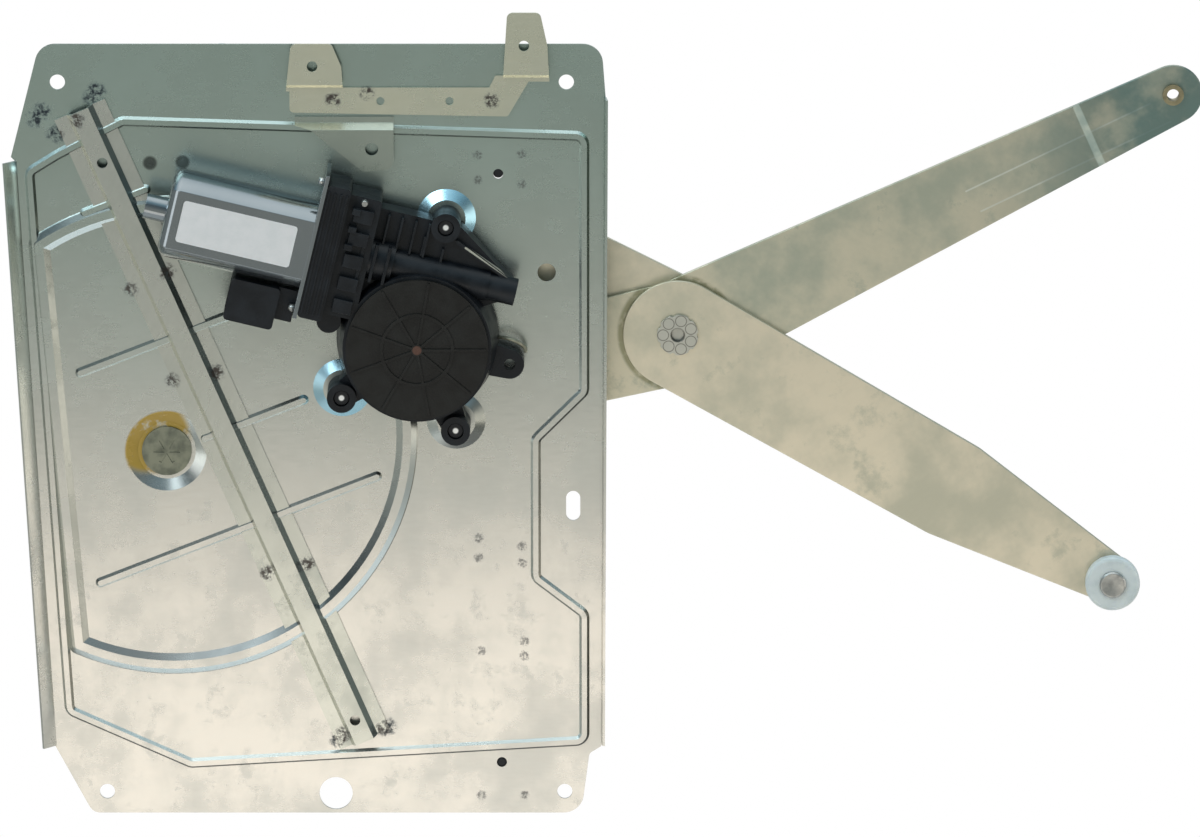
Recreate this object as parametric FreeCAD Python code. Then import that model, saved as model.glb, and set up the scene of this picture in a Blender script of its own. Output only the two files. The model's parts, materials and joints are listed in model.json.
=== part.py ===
import FreeCAD, Part
import math
import os

# Cross-arm window regulator with its motor, as it hangs in a door. Millimetres.
# X runs along the door, Z is up, and -Y is the side that carries the motor.
# The origin is midway between the two lower fixing holes, on the front of the sheet.

os.makedirs("parts", exist_ok=True)

V = FreeCAD.Vector
BACK = V(0, 1, 0)

# Carrier sheet
sheet_t = 1.2
sheet_top = 378.5
sheet_bottom = -11.0
crown_left_edge = 8.75
crown_right_edge = 17.25
sheet_right = 134.0
neck_z = 352.0
hip_right = 132.5
hip_z = 23.5
foot_right_edge = 12.25
foot_drop = 4.0
foot_left_edge = 7.25
waist_left = -139.5
shoulder_left = -156.0
shoulder_z = 322.0
notch = 2.0
corner_r = 10.0
small_r = 3.0
flange_w = 9.0
fold_lap = 0.8
left_fold = 50.0
right_fold = 85.0

# Holes in the sheet
lower_span = 227.5
upper_span = 249.5
upper_x = -10.0
upper_z = 359.5
fixing_r = 3.75
window_r = 8.25
window_z = -1.0
slot_x = 118.0
slot_z = 146.0
slot_w = 7.0
slot_l = 15.0
locator_x = 105.0
locator_z = 264.0
locator_r = 4.5
drain_x = 82.5
drain_z = 15.0
clip_x = 81.25
clip_z = 313.5
small_hole_r = 2.5

# Pressed beads
bead_w = 5.0
bead_h = 2.0
bead_slope = 1.2
bead_r = 4.5
loop_border = 10.5
loop_top_x = -103.0
loop_top_z = 340.0
loop_fall = 7.5
waist_top = 204.0
waist_low = 91.0
waist_in = 24.0
waist_ease = 18.5
loop_low_right = 26.0
loop_low_x = -72.0
loop_low_z = 14.5
loop_side_low = 41.5
loop_side_high = 314.5
loop_side_in = 7.0
loop_chamfer = 13.5
loop_chamfer_tilt = 32.0
loop_waist_shift = 0.5
relief_w = 10.5
relief_h = 2.4
relief_slope = 3.2
relief_x = -80.0
relief_z = 181.5
relief_r = 116.0
relief_chord_x = 56.0
relief_tilt = 5.0
rung_w = 5.0
rung_tilt = 21.5
short_rung_x = -122.0
short_rung_z = 294.0
short_rung_run = 30.0
dish_rung_x = -125.0
dish_rung_z = 213.5
dish_rung_run = 78.0
rail_rung_x = -64.0
rail_rung_z = 180.5
rail_rung_run = 49.0
low_rung_x = -116.0
low_rung_z = 107.0
low_rung_run = 137.0

# Hat rail
rail_low_x = 14.5
rail_low_z = 27.0
rail_high_x = -124.0
rail_high_z = 346.0
rail_w = 14.0
rail_foot_w = 6.5
rail_h = 6.5
rail_slope = 2.2
rail_hole_r = 2.6
rail_hole_low = 12.0
rail_hole_high = 28.0

# Bracket along the top edge, and the ears
strap_left = -21.0
strap_right = 86.0
strap_low = 343.5
strap_w = 13.5
ear_lift = 4.0
ear_bend = 2.0
ear_hole_r = 2.6
strap_hole_r = 2.0
left_ear_x = -8.75
left_ear_w = 28.5
left_ear_z = 357.0
left_ear_h = 22.5
right_ear_x = 95.0
right_ear_w = 23.0
right_ear_z = 362.0
right_ear_h = 33.0
strap_step_top = 15.0
strap_step_low = 18.0
hanging_left = -18.5
hanging_right = 30.0
hanging_low = 315.5
hanging_bend_z = 336.5
hanging_root = 6.0
hanging_hole_x = 19.25
hanging_hole_z = 327.0
hanging_hole_r = 3.2

# Main pivot and the dish that carries it
pivot_x = -82.75
pivot_z = 173.5
dish_r = 21.0
dish_floor_r = 15.5
dish_d = 2.6
pivot_r = 8.0
pivot_head_r = 12.3
pivot_head_t = 1.4
stake_grooves = 6
stake_l = 6.5
stake_w = 1.4
stake_d = 0.6
run_gap = 0.05
side_gap = 0.3

# Arms
arm_t = 2.5
reach_back = 259.0
reach_angle = 13.05
main_reach = 271.0
main_angle = 26.3
main_root_r = 22.0
main_wide_r = 26.0
main_tip_r = 14.5
cross_angle = -30.1
front_reach = 249.0
rear_reach = 259.0
cross_wide_r = 27.0
shoulder_reach = 156.0
shoulder_r = 25.0
cross_tip_r = 12.0
cross_r = 7.5
cross_head_r = 10.2
cross_head_t = 1.5
cross_dimple_r = 3.4
cross_dimple_d = 2.5
petals = 7
petal_r = 1.6
tip_bush_r = 5.2
tip_collar = 1.2
tip_bore_r = 3.0
tip_bush_l = 7.0
tip_bush_proud = 2.0

# Rollers
roller_r = 13.5
roller_l = 8.0
roller_round = 1.6
roller_pin_r = 4.0
roller_seat_r = 5.5
roller_head_r = 6.6
roller_head_t = 1.6
roller_head_rim = 1.4
roller_neck = 1.0

# Lift gears
module = 2.5
sector_teeth = 100
pinion_teeth = 10
pressure = 25.0
addendum_k = 0.8
dedendum_k = 1.05
backlash = 0.35
root_ease = 0.2
flank_steps = 3
pinion_angle = 25.3
sector_t = 3.0
sector_inner_r = 66.0
sector_low = -36.0
sector_high = 50.0
rivet_r = 3.0
rivet_head_r = 5.5
rivet_head_t = 0.2
rivet_inset = 9.0
rivet_spread = 9.0
rivet_reach = 112.0
rivet_far_spread = 6.0
shaft_r = 6.0
shaft_step = 1.0
shaft_hole_r = 16.5

# Depths, measured back from the front of the sheet
sector_front = 3.0
arm_front = sector_front + sector_t
arm_back = arm_front + arm_t
front_half_y = arm_front - side_gap - arm_t
rear_half_y = arm_back + side_gap
pinion_front = sheet_t + 0.8
pinion_back = arm_front - side_gap

# Motor
motor_x = -46.25
motor_z = 291.2
motor_y = -20.5
motor_tilt = -13.5
can_l = 72.0
can_r = 22.2
can_d = 33.5
can_wall = 1.6
can_end_r = 5.0
nose_r = 6.2
nose_l = 10.5
plate_t = 2.0
plate_low = -34.5
plate_high = 38.5
rotor_r = 14.0
rotor_l = 40.0
rotor_start = 14.0
magnet_w = 20.0
commutator_r = 8.0
commutator_l = 12.0
commutator_gap = 2.0
worm_r = 4.5
worm_l = 26.0
worm_shaft_r = 3.0
bearing_l = 6.0

# Gearbox
box_back = -5.0
box_front = -31.0
box_r = 36.5
box_base_r = 40.0
box_wall = 2.5
frame_l = 12.0
frame_low = -33.5
frame_high = 34.0
frame_round = 2.0
block_l = 16.0
block_low = -30.0
block_high = 31.0
lobe_r = 6.0
lobe_u = 54.0
lobe_v = -34.5
lobe_h = 20.0
barrel_r = 10.0
barrel_end = 78.0
tunnel_r = 7.5
tunnel_end = 140.0
tunnel_cap_r = 6.8
tunnel_cap_l = 14.0
saddle_h = 15.0
saddle_drop = 26.0
saddle_high = 25.5
rib_w = 1.6
rib_h = 3.0
boss_h = 3.0
boss_r = 14.5
boss_top_r = 9.5
lug_r = 7.2
lug_hole_r = 2.8
lug_l = 22.0
lug_web_r = 9.0
lug_web_h = 13.0
pocket_d = 4.0
pocket_gap = 0.4
screw_head_r = 3.6
screw_head_t = 2.5
screw_end = 1.0
top_lug_x = 14.2
top_lug_z = 59.2
left_lug_x = -37.3
left_lug_z = -26.3
low_lug_x = 18.7
low_lug_z = -42.8
ear_lug_x = 45.2
ear_lug_z = -12.0
ear_lug_h = 7.0
cover_r = 35.0
cover_t = 2.5
cover_spigot = 1.5
cover_ribs = 9
cover_rib_h = 0.8
cover_rib_w = 1.2
cover_ring_r = 17.5
cover_ring_w = 1.6
cover_hub_r = 3.0
wheel_t = 9.0
shaft_top_gap = 4.0

# Connector
plug_back = 8.5
socket_w = 22.0
socket_h = 21.0
socket_l = 24.5
socket_wall = 1.8
socket_floor = 4.0
socket_gap = 1.0
neck_inset = 5.0
terminal_w = 4.0
terminal_t = 0.8
terminal_l = 10.0
terminal_pitch = 8.0


def at(x, z, y=0.0):
    return V(x, y, z)


def polar(radius, degrees):
    a = math.radians(degrees)
    return V(radius * math.cos(a), 0, radius * math.sin(a))


def rod(center, radius, front, back):
    return Part.makeCylinder(radius, back - front, V(center.x, front, center.z), BACK)


def cone(center, front_r, back_r, front, back):
    return Part.makeCone(front_r, back_r, back - front, V(center.x, front, center.z), BACK)


def turned(center, profile, seat, side):
    # profile is (radius, depth from the seat); side is -1 towards the front and 1 towards the back
    corners = [V(center.x + radius, seat + side * depth, center.z) for radius, depth in profile]
    face = Part.Face(Part.makePolygon(corners + corners[:1]))
    return face.revolve(V(center.x, 0, center.z), V(0, side, 0), 360)


def rounded_wire(corners):
    # corners are (x, z, radius); a radius of 0 leaves the corner sharp
    count = len(corners)
    edges = []
    starts = []
    ends = []
    arcs = []
    for i, (x, z, radius) in enumerate(corners):
        here = at(x, z)
        before = at(*corners[i - 1][:2]) - here
        after = at(*corners[(i + 1) % count][:2]) - here
        before.normalize()
        after.normalize()
        if radius == 0:
            starts.append(here)
            ends.append(here)
            arcs.append(None)
            continue
        half = before.getAngle(after) / 2
        cut = radius / math.tan(half)
        middle_way = before + after
        middle_way.normalize()
        middle = here + middle_way * (radius / math.sin(half) - radius)
        starts.append(here + before * cut)
        ends.append(here + after * cut)
        arcs.append(middle)
    for i in range(count):
        if arcs[i] is not None:
            edges.append(Part.Arc(starts[i], arcs[i], ends[i]).toShape())
        edges.append(Part.LineSegment(ends[i], starts[(i + 1) % count]).toShape())
    return Part.Wire(edges)


def plate_of(wire, front, back):
    face = Part.Face(wire)
    face.translate(V(0, front, 0))
    return face.extrude(V(0, back - front, 0))


def link_wire(p, p_r, q, q_r):
    # the outline of two round ends and their two outer tangents
    line = q - p
    length = line.Length
    along = math.atan2(line.z, line.x)
    lean = math.acos((p_r - q_r) / length)

    def rim(center, radius, angle):
        return center + V(radius * math.cos(angle), 0, radius * math.sin(angle))

    p_up, p_low = rim(p, p_r, along + lean), rim(p, p_r, along - lean)
    q_up, q_low = rim(q, q_r, along + lean), rim(q, q_r, along - lean)
    return Part.Wire([
        Part.Arc(p_up, rim(p, p_r, along + math.pi), p_low).toShape(),
        Part.LineSegment(p_low, q_low).toShape(),
        Part.Arc(q_low, rim(q, q_r, along), q_up).toShape(),
        Part.LineSegment(q_up, p_up).toShape(),
    ])


def link(p, p_r, q, q_r, front, back):
    return plate_of(link_wire(p, p_r, q, q_r), front, back)


def pressed(wire, inset, height, front):
    # a raised flat pressing: the outline at the sheet and a smaller one in front of it
    low = wire.copy()
    low.translate(V(0, front, 0))
    high = wire.makeOffset2D(-inset)
    high.translate(V(0, front - height, 0))
    return Part.makeLoft([low, high], True, True)


def ring_bead(wire, width, height, slope, front):
    outer = pressed(wire.makeOffset2D(width / 2), slope, height, front)
    low = wire.makeOffset2D(-width / 2)
    high = wire.makeOffset2D(-width / 2 + slope)
    low.translate(V(0, front, 0))
    high.translate(V(0, front - height, 0))
    return outer.cut(Part.makeLoft([low, high], True, True))


def straight_bead(p, q, width, height, slope, front):
    return pressed(link_wire(p, width / 2, q, width / 2 + 0.001), slope, height, front)


def bent_strip(path, thickness, left, right):
    # path is (y, z) along the front of the strip, which is thickness deep behind it
    count = len(path)
    behind = []
    for i, (y, z) in enumerate(path):
        normals = []
        for a, b in ((i - 1, i), (i, i + 1)):
            if a >= 0 and b < count:
                way = V(0, path[b][0] - path[a][0], path[b][1] - path[a][1])
                way.normalize()
                normals.append(V(0, way.z, -way.y))
        total = normals[0] + normals[-1]
        total.normalize()
        total = total * (thickness / total.dot(normals[0]))
        behind.append((y + total.y, z + total.z))
    loop = [V(left, y, z) for y, z in path + behind[::-1]]
    return Part.Face(Part.makePolygon(loop + loop[:1])).extrude(V(right - left, 0, 0))


def save(name, *solids):
    shape = solids[0] if len(solids) == 1 else Part.makeCompound(list(solids))
    if len(shape.Solids) != len(solids):
        print(name, "has", len(shape.Solids), "solids")
    if not shape.isValid():
        print(name, "is not valid")
    shape.exportStep("parts/" + name + ".step")


def one(shape):
    # the single solid of a boolean result, with split faces joined again
    return shape.removeSplitter().Solids[0]


pivot = at(pivot_x, pivot_z)
gear_centre = module * (sector_teeth + pinion_teeth) / 2
pinion_at = pivot + polar(gear_centre, pinion_angle)
cross = pivot + polar(reach_back, reach_angle)
main_tip = cross + polar(main_reach, main_angle)
front_tip = cross + polar(front_reach, cross_angle)
rear_tip = cross - polar(rear_reach, cross_angle)
motor_along = polar(1.0, motor_tilt)
motor_up = polar(1.0, motor_tilt + 90)
motor_at = at(motor_x, motor_z)
worm_mid = (pinion_at - motor_at).dot(motor_along)
worm_drop = (motor_at - pinion_at).dot(motor_up)


def on_motor(u, v, y=0.0):
    spot = motor_at + motor_along * u + motor_up * v
    return V(spot.x, y, spot.z)


# The three sleeves that screw the gearbox down, seen from the output shaft
lugs = [
    pinion_at + at(top_lug_x, top_lug_z),
    pinion_at + at(left_lug_x, left_lug_z),
    pinion_at + at(low_lug_x, low_lug_z),
]


# Carrier sheet: an outline with two folded edges, pressed beads, a dish and three bosses
def carrier():
    crown_left = upper_x - upper_span / 2 - crown_left_edge
    crown_right = upper_x + upper_span / 2 + crown_right_edge
    foot_left = -lower_span / 2 - foot_left_edge
    foot_right = lower_span / 2 + foot_right_edge
    sheet = plate_of(rounded_wire([
        (crown_left, sheet_top, corner_r),
        (crown_right, sheet_top, corner_r),
        (sheet_right, neck_z, 0),
        (hip_right, hip_z, small_r),
        (foot_right, hip_z - foot_drop, small_r),
        (foot_right - foot_drop, sheet_bottom, corner_r),
        (foot_left, sheet_bottom, small_r * 2),
        (waist_left, hip_z, 0),
        (shoulder_left, shoulder_z - notch, 0),
        (shoulder_left - notch, shoulder_z, 0),
    ]), 0, sheet_t)
    for start, end, fold, side in (
        (at(shoulder_left, shoulder_z - notch), at(waist_left, hip_z), left_fold, -1),
        (at(sheet_right, neck_z), at(hip_right, hip_z + notch), right_fold, 1),
    ):
        start = start - V(side * fold_lap, 0, 0)
        end = end - V(side * fold_lap, 0, 0)
        way = V(side * math.cos(math.radians(fold)), -math.sin(math.radians(fold)), 0)
        deep = V(math.sin(math.radians(fold)) * side, math.cos(math.radians(fold)), 0)
        edge = [start, end, end + way * flange_w, start + way * flange_w]
        sheet = sheet.fuse(Part.Face(Part.makePolygon(edge + edge[:1])).extrude(deep * sheet_t))

    for wire, width, height, slope in ((loop_wire(), bead_w, bead_h, bead_slope),
                                       (relief_wire(), relief_w, relief_h, relief_slope)):
        sheet = sheet.fuse(ring_bead(wire, width, height, slope, 0))
        sheet = sheet.cut(ring_bead(wire, width - sheet_t, height, slope, sheet_t))
    for p, q in rungs():
        sheet = sheet.fuse(straight_bead(p, q, rung_w, bead_h, bead_slope, 0))
        sheet = sheet.cut(straight_bead(p, q, rung_w - sheet_t, bead_h, bead_slope, sheet_t))

    for lug in lugs:
        sheet = sheet.cut(rod(lug, boss_r, -relief_h, sheet_t))
        sheet = sheet.fuse(cone(lug, boss_top_r, boss_r, -boss_h, 0))
        sheet = sheet.fuse(rod(lug, boss_r, 0, sheet_t))
        sheet = sheet.cut(cone(lug, boss_top_r - sheet_t, boss_r - sheet_t, sheet_t - boss_h, sheet_t))
        sheet = sheet.cut(rod(lug, lug_hole_r, -boss_h, sheet_t))
    sheet = sheet.cut(rod(pivot, dish_r, 0, sheet_t))
    sheet = sheet.fuse(cone(pivot, dish_r, dish_floor_r, 0, dish_d + sheet_t).cut(
        cone(pivot, dish_r - sheet_t, dish_floor_r - sheet_t, 0, dish_d)))
    sheet = sheet.cut(rod(pivot, pivot_r, 0, dish_d + sheet_t))
    sheet = sheet.cut(rod(pinion_at, shaft_hole_r, -relief_h, sheet_t))
    for x, z, radius in holes():
        sheet = sheet.cut(rod(at(x, z), radius, -relief_h, sheet_t))
    half = (slot_l - slot_w) / 2
    slot_low = at(slot_x, slot_z - half)
    slot_high = at(slot_x, slot_z + half)
    slot = link(slot_low, slot_w / 2, slot_high, slot_w / 2 + 0.001, 0, sheet_t)
    return one(sheet.cut(slot))


def holes():
    return [
        (-lower_span / 2, 0, fixing_r),
        (lower_span / 2, 0, fixing_r),
        (upper_x - upper_span / 2, upper_z, fixing_r),
        (upper_x + upper_span / 2, upper_z, fixing_r),
        (0, window_z, window_r),
        (locator_x, locator_z, locator_r),
        (drain_x, drain_z, small_hole_r),
        (clip_x, clip_z, small_hole_r),
    ]


def loop_wire():
    # the stiffening bead that follows the edge of the sheet and steps in at the waist
    right = sheet_right - loop_border
    left_high = shoulder_left + loop_side_in
    left_low = waist_left + loop_side_in + loop_waist_shift
    chamfer_rise = loop_chamfer * math.tan(math.radians(loop_chamfer_tilt))
    return rounded_wire([
        (loop_top_x, loop_top_z, bead_r),
        (right, loop_top_z - loop_fall, bead_r),
        (right, waist_top, bead_r),
        (right - waist_in, waist_top - waist_in, bead_r),
        (right - waist_in, waist_low + waist_ease, bead_r),
        (right, waist_low, bead_r),
        (right, loop_low_right, bead_r),
        (loop_low_x, loop_low_z, bead_r),
        (left_low, loop_side_low, bead_r),
        (left_high, loop_side_high, bead_r),
        (left_high + loop_chamfer, loop_side_high + chamfer_rise, bead_r),
    ])


def relief_wire():
    # a circle about the sector's clearance, cut off by a leaning chord on the left
    centre = at(relief_x, relief_z)
    half = math.degrees(math.acos(relief_chord_x / relief_r))
    low = centre + polar(relief_r, 180 + relief_tilt + half)
    high = centre + polar(relief_r, 180 + relief_tilt - half)
    far = centre + polar(relief_r, relief_tilt)
    return Part.Wire([
        Part.Arc(low, far, high).toShape(),
        Part.LineSegment(high, low).toShape(),
    ])


def rungs():
    # the four leaning beads, each from its left end and as long as its run along X
    slope = math.tan(math.radians(rung_tilt))
    spans = [
        (short_rung_x, short_rung_z, short_rung_run),
        (dish_rung_x, dish_rung_z, dish_rung_run),
        (rail_rung_x, rail_rung_z, rail_rung_run),
        (low_rung_x, low_rung_z, low_rung_run),
    ]
    return [(at(x, z), at(x + run, z + run * slope)) for x, z, run in spans]


sheet = carrier()
save("carrier_sheet", sheet)


# Diagonal hat rail, spot-welded across the sheet
def hat_rail():
    rail_low = at(rail_low_x, rail_low_z)
    rail_high = at(rail_high_x, rail_high_z)
    line = rail_high - rail_low
    side = rail_w / 2
    edge = side + rail_foot_w
    top = side - rail_slope
    profile = [
        (-edge, 0), (-edge, -sheet_t), (-side, -sheet_t), (-top, -rail_h),
        (top, -rail_h), (side, -sheet_t), (edge, -sheet_t), (edge, 0),
        (side - sheet_t, 0), (top - sheet_t, sheet_t - rail_h), (sheet_t - top, sheet_t - rail_h),
        (sheet_t - side, 0),
    ]
    loop = [V(x, y, 0) for x, y in profile]
    rail = Part.Face(Part.makePolygon(loop + loop[:1])).extrude(V(0, 0, line.Length))
    lean = math.degrees(math.atan2(-line.x, line.z))
    rail.rotate(V(0, 0, 0), V(0, -1, 0), lean)
    rail.translate(rail_low)
    line.normalize()
    for spot in (rail_low + line * rail_hole_low, rail_high - line * rail_hole_high):
        rail = rail.cut(rod(spot, rail_hole_r, -rail_h, 0))
    return rail


rail = one(hat_rail().cut(sheet))
save("hat_rail", rail)


# Folded bracket along the top edge: a flat strap with two raised ears
def raised_ear(middle, width, bend_z, height):
    left = middle - width / 2
    right = middle + width / 2
    top = bend_z + height
    front = -sheet_t - ear_lift
    strip = bent_strip([(-sheet_t, bend_z - ear_bend), (-sheet_t, bend_z), (front, bend_z + ear_bend),
                        (front, top)], sheet_t, left, right)
    outline = plate_of(rounded_wire([
        (left, bend_z - 2 * ear_bend, 0),
        (right, bend_z - 2 * ear_bend, 0),
        (right - 1, bend_z + height / 2, 0),
        (right - width / 5, top, small_r),
        (left + width / 10, top, small_r),
    ]), front - sheet_t, 0)
    ear = strip.common(outline)
    return ear.cut(rod(at(middle - 1, top - height / 2), ear_hole_r, front - sheet_t, 0))


def top_bracket():
    strap_high = strap_low + strap_w
    rise = right_ear_z + 1
    strap = plate_of(rounded_wire([
        (strap_left, strap_low + 1, ear_bend),
        (strap_right, strap_low - 1, ear_bend),
        (right_ear_x + small_r, rise, ear_bend),
        (right_ear_x - strap_step_top, rise, 0),
        (right_ear_x - strap_step_low, strap_high, 0),
        (strap_left, strap_high, ear_bend),
    ]), -sheet_t, 0)
    bracket = strap.fuse([raised_ear(left_ear_x, left_ear_w, left_ear_z, left_ear_h),
                          raised_ear(right_ear_x, right_ear_w, right_ear_z, right_ear_h)])
    third = (strap_right - strap_left) / 3
    for x in (strap_left + 1.25 * third, strap_left + 2.2 * third):
        bracket = bracket.cut(rod(at(x, strap_low + strap_w / 2), strap_hole_r, -sheet_t, 0))
    return bracket


save("top_bracket", one(top_bracket().cut(sheet)))


def hanging_ear():
    front = -sheet_t - ear_lift
    root_z = hanging_bend_z + hanging_root
    bend_high = hanging_bend_z + small_r
    path = [(front, hanging_low - 1), (front, hanging_bend_z), (-sheet_t, bend_high), (-sheet_t, root_z)]
    strip = bent_strip(path, sheet_t, hanging_left, hanging_right)
    outline = plate_of(rounded_wire([
        (hanging_left - 1, root_z + 1, 0),
        (hanging_right, root_z + 1, 0),
        (hanging_right, hanging_low + 1.5, corner_r / 2),
        (hanging_right - 1.5 * corner_r, hanging_low, corner_r / 2),
        (hanging_left + 0.75 * corner_r, hanging_bend_z, ear_bend),
        (hanging_left - 1, hanging_bend_z + ear_bend, 0),
    ]), front - sheet_t, 0)
    ear = strip.common(outline)
    return ear.cut(rod(at(hanging_hole_x, hanging_hole_z), hanging_hole_r, front - sheet_t, 0))


save("hanging_ear", one(hanging_ear().cut(sheet)))

# Main pivot: a stepped stud, staked in the dish with a star of grooves, and a thrust washer
dish_back = dish_d + sheet_t
stud_top = dish_d
stud_end = arm_back + run_gap
stud = turned(pivot, [
    (0, stud_top - pivot_head_t),
    (pivot_head_r, stud_top - pivot_head_t),
    (pivot_head_r, stud_top),
    (pivot_r, stud_top),
    (pivot_r, stud_end),
    (pivot_head_r, stud_end),
    (pivot_head_r - pivot_head_t, stud_end + pivot_head_t),
    (0, stud_end + pivot_head_t),
], 0, 1)
for i in range(stake_grooves):
    groove = Part.makeBox(stake_l, stake_d, stake_w, V(0, 0, -stake_w / 2))
    groove.rotate(V(0, 0, 0), BACK, 360.0 * i / stake_grooves)
    groove.translate(V(pivot.x, stud_top - pivot_head_t, pivot.z))
    stud = stud.cut(groove)
save("main_pivot_stud", one(stud))
washer = rod(pivot, dish_floor_r, dish_back, arm_front - run_gap).cut(
    rod(pivot, pivot_r, dish_back, arm_front - run_gap))
save("main_pivot_washer", washer)


# Lift gears: involute teeth on the sector and on the pinion
def involute_half(teeth, backlash_share):
    # (radius, half angle) of one flank, from the root to the tip
    pitch_r = module * teeth / 2
    base_r = pitch_r * math.cos(math.radians(pressure))
    root_r = pitch_r - dedendum_k * module
    tip_r = pitch_r + addendum_k * module
    half_pitch = (math.pi * module / 2 - backlash_share) / 2 / pitch_r
    a0 = math.radians(pressure)
    inv0 = math.tan(a0) - a0
    low = max(base_r, root_r) + 0.02
    rows = []
    for i in range(flank_steps + 1):
        radius = low + (tip_r - low) * i / flank_steps
        a = math.acos(base_r / radius)
        rows.append((radius, half_pitch + inv0 - (math.tan(a) - a)))
    return [(root_r, rows[0][1] + root_ease / root_r)] + rows


def tooth_points(centre, teeth, facing, backlash_share):
    rows = involute_half(teeth, backlash_share)
    rising = [centre + polar(r, facing - math.degrees(half)) for r, half in rows]
    falling = [centre + polar(r, facing + math.degrees(half)) for r, half in rows[::-1]]
    return rising + falling


def sector():
    pitch = 360.0 / sector_teeth
    first = math.ceil((sector_low - pinion_angle) / pitch)
    last = math.floor((sector_high - pinion_angle) / pitch)
    points = []
    for i in range(first, last + 1):
        points += tooth_points(pivot, sector_teeth, pinion_angle + i * pitch, backlash / 2)
    start = pinion_angle + (first - 0.5) * pitch
    end = pinion_angle + (last + 0.5) * pitch
    edges = Part.makePolygon(points).Edges
    inner_start = pivot + polar(sector_inner_r, start)
    inner_end = pivot + polar(sector_inner_r, end)
    inner_mid = pivot + polar(sector_inner_r, (start + end) / 2)
    root = module * sector_teeth / 2 - dedendum_k * module
    edges.append(Part.LineSegment(points[-1], pivot + polar(root, end)).toShape())
    edges.append(Part.LineSegment(pivot + polar(root, end), inner_end).toShape())
    edges.append(Part.Arc(inner_end, inner_mid, inner_start).toShape())
    edges.append(Part.LineSegment(inner_start, pivot + polar(root, start)).toShape())
    edges.append(Part.LineSegment(pivot + polar(root, start), points[0]).toShape())
    blank = plate_of(Part.Wire(edges), sector_front, arm_front)
    for spot in sector_rivets():
        blank = blank.cut(rod(spot, rivet_r, sector_front, arm_front))
    return blank


def sector_rivets():
    spots = []
    for radius, spread in ((sector_inner_r + rivet_inset, rivet_spread), (rivet_reach, rivet_far_spread)):
        spots.append(pivot + polar(radius, reach_angle - spread))
        spots.append(pivot + polar(radius, reach_angle + spread))
    return spots


save("sector_gear", one(sector()))
rivets = []
for spot in sector_rivets():
    body = rod(spot, rivet_r, sector_front, arm_back)
    head = cone(spot, rivet_head_r, rivet_head_r - 1, arm_back, arm_back + rivet_head_t)
    rivets.append(one(body.fuse(head)))
save("sector_rivets", *rivets)

points = []
for i in range(pinion_teeth):
    facing = pinion_angle + 180 + (i + 0.5) * 360.0 / pinion_teeth
    points += tooth_points(pinion_at, pinion_teeth, facing, backlash / 2)
pinion = plate_of(Part.makePolygon(points + points[:1]), pinion_front, pinion_back)
pinion = pinion.cut(rod(pinion_at, shaft_r - shaft_step, pinion_front, pinion_back))
save("pinion", one(pinion))
shaft = rod(pinion_at, shaft_r, box_front + shaft_top_gap, pinion_front)
shaft = shaft.fuse(rod(pinion_at, shaft_r - shaft_step, pinion_front, pinion_back))
save("output_shaft", one(shaft))


# Main arm, with a knee at the cross pivot and a bush at its tip
def main_arm():
    arm = link(pivot, main_root_r, cross, main_wide_r, arm_front, arm_back)
    arm = arm.fuse(link(cross, main_wide_r, main_tip, main_tip_r, arm_front, arm_back))
    arm = arm.cut(rod(pivot, pivot_r + run_gap, arm_front, arm_back))
    arm = arm.cut(rod(cross, cross_r + run_gap, arm_front, arm_back))
    arm = arm.cut(rod(main_tip, tip_bush_r - tip_collar, arm_front, arm_back))
    for spot in sector_rivets():
        arm = arm.cut(rod(spot, rivet_r, arm_front, arm_back))
    return arm


save("main_arm", one(main_arm()))
bush_front = arm_front - tip_bush_proud
bush_neck = tip_bush_r - tip_collar
bush = turned(main_tip, [
    (tip_bore_r, 0),
    (tip_bush_r, 0),
    (tip_bush_r, tip_bush_proud),
    (bush_neck, tip_bush_proud),
    (bush_neck, tip_bush_proud + arm_t),
    (tip_bush_r, tip_bush_proud + arm_t),
    (tip_bush_r, tip_bush_l),
    (tip_bore_r, tip_bush_l),
], bush_front, 1)
save("main_arm_bush", one(bush))

# Cross arm: a front half and a rear half, joined through the main arm by a staked rivet
shoulder = cross + polar(shoulder_reach, cross_angle)
half_back = front_half_y + arm_t
front_half = link(cross, cross_wide_r, shoulder, shoulder_r, front_half_y, half_back)
front_half = front_half.fuse(link(shoulder, shoulder_r, front_tip, cross_tip_r, front_half_y, half_back))
front_half = front_half.cut(rod(cross, cross_r, front_half_y, half_back))
front_half = front_half.cut(rod(front_tip, roller_pin_r - roller_neck, front_half_y, half_back))
save("cross_arm_front", one(front_half))

rear_back = rear_half_y + arm_t
rear_half = link(cross, cross_wide_r, rear_tip, cross_tip_r, rear_half_y, rear_back)
rear_half = rear_half.cut(rod(cross, cross_r, rear_half_y, rear_back))
rear_half = rear_half.cut(rod(rear_tip, roller_pin_r - roller_neck, rear_half_y, rear_back))
save("cross_arm_rear", one(rear_half))

rivet_top = front_half_y - cross_head_t
rivet_l = rear_back - rivet_top
cross_rivet = turned(cross, [
    (0, cross_dimple_d),
    (cross_dimple_r, cross_dimple_d),
    (cross_dimple_r, 0),
    (cross_head_r, 0),
    (cross_head_r, cross_head_t),
    (cross_r, cross_head_t),
    (cross_r, rivet_l),
    (cross_head_r, rivet_l),
    (cross_head_r - cross_head_t, rivet_l + cross_head_t),
    (0, rivet_l + cross_head_t),
], rivet_top, 1)
for i in range(petals):
    notch_at = cross + polar(cross_head_r + petal_r / 2, 360 * i / petals)
    cross_rivet = cross_rivet.cut(rod(notch_at, petal_r, rivet_top, front_half_y))
save("cross_pivot_rivet", one(cross_rivet))


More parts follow.
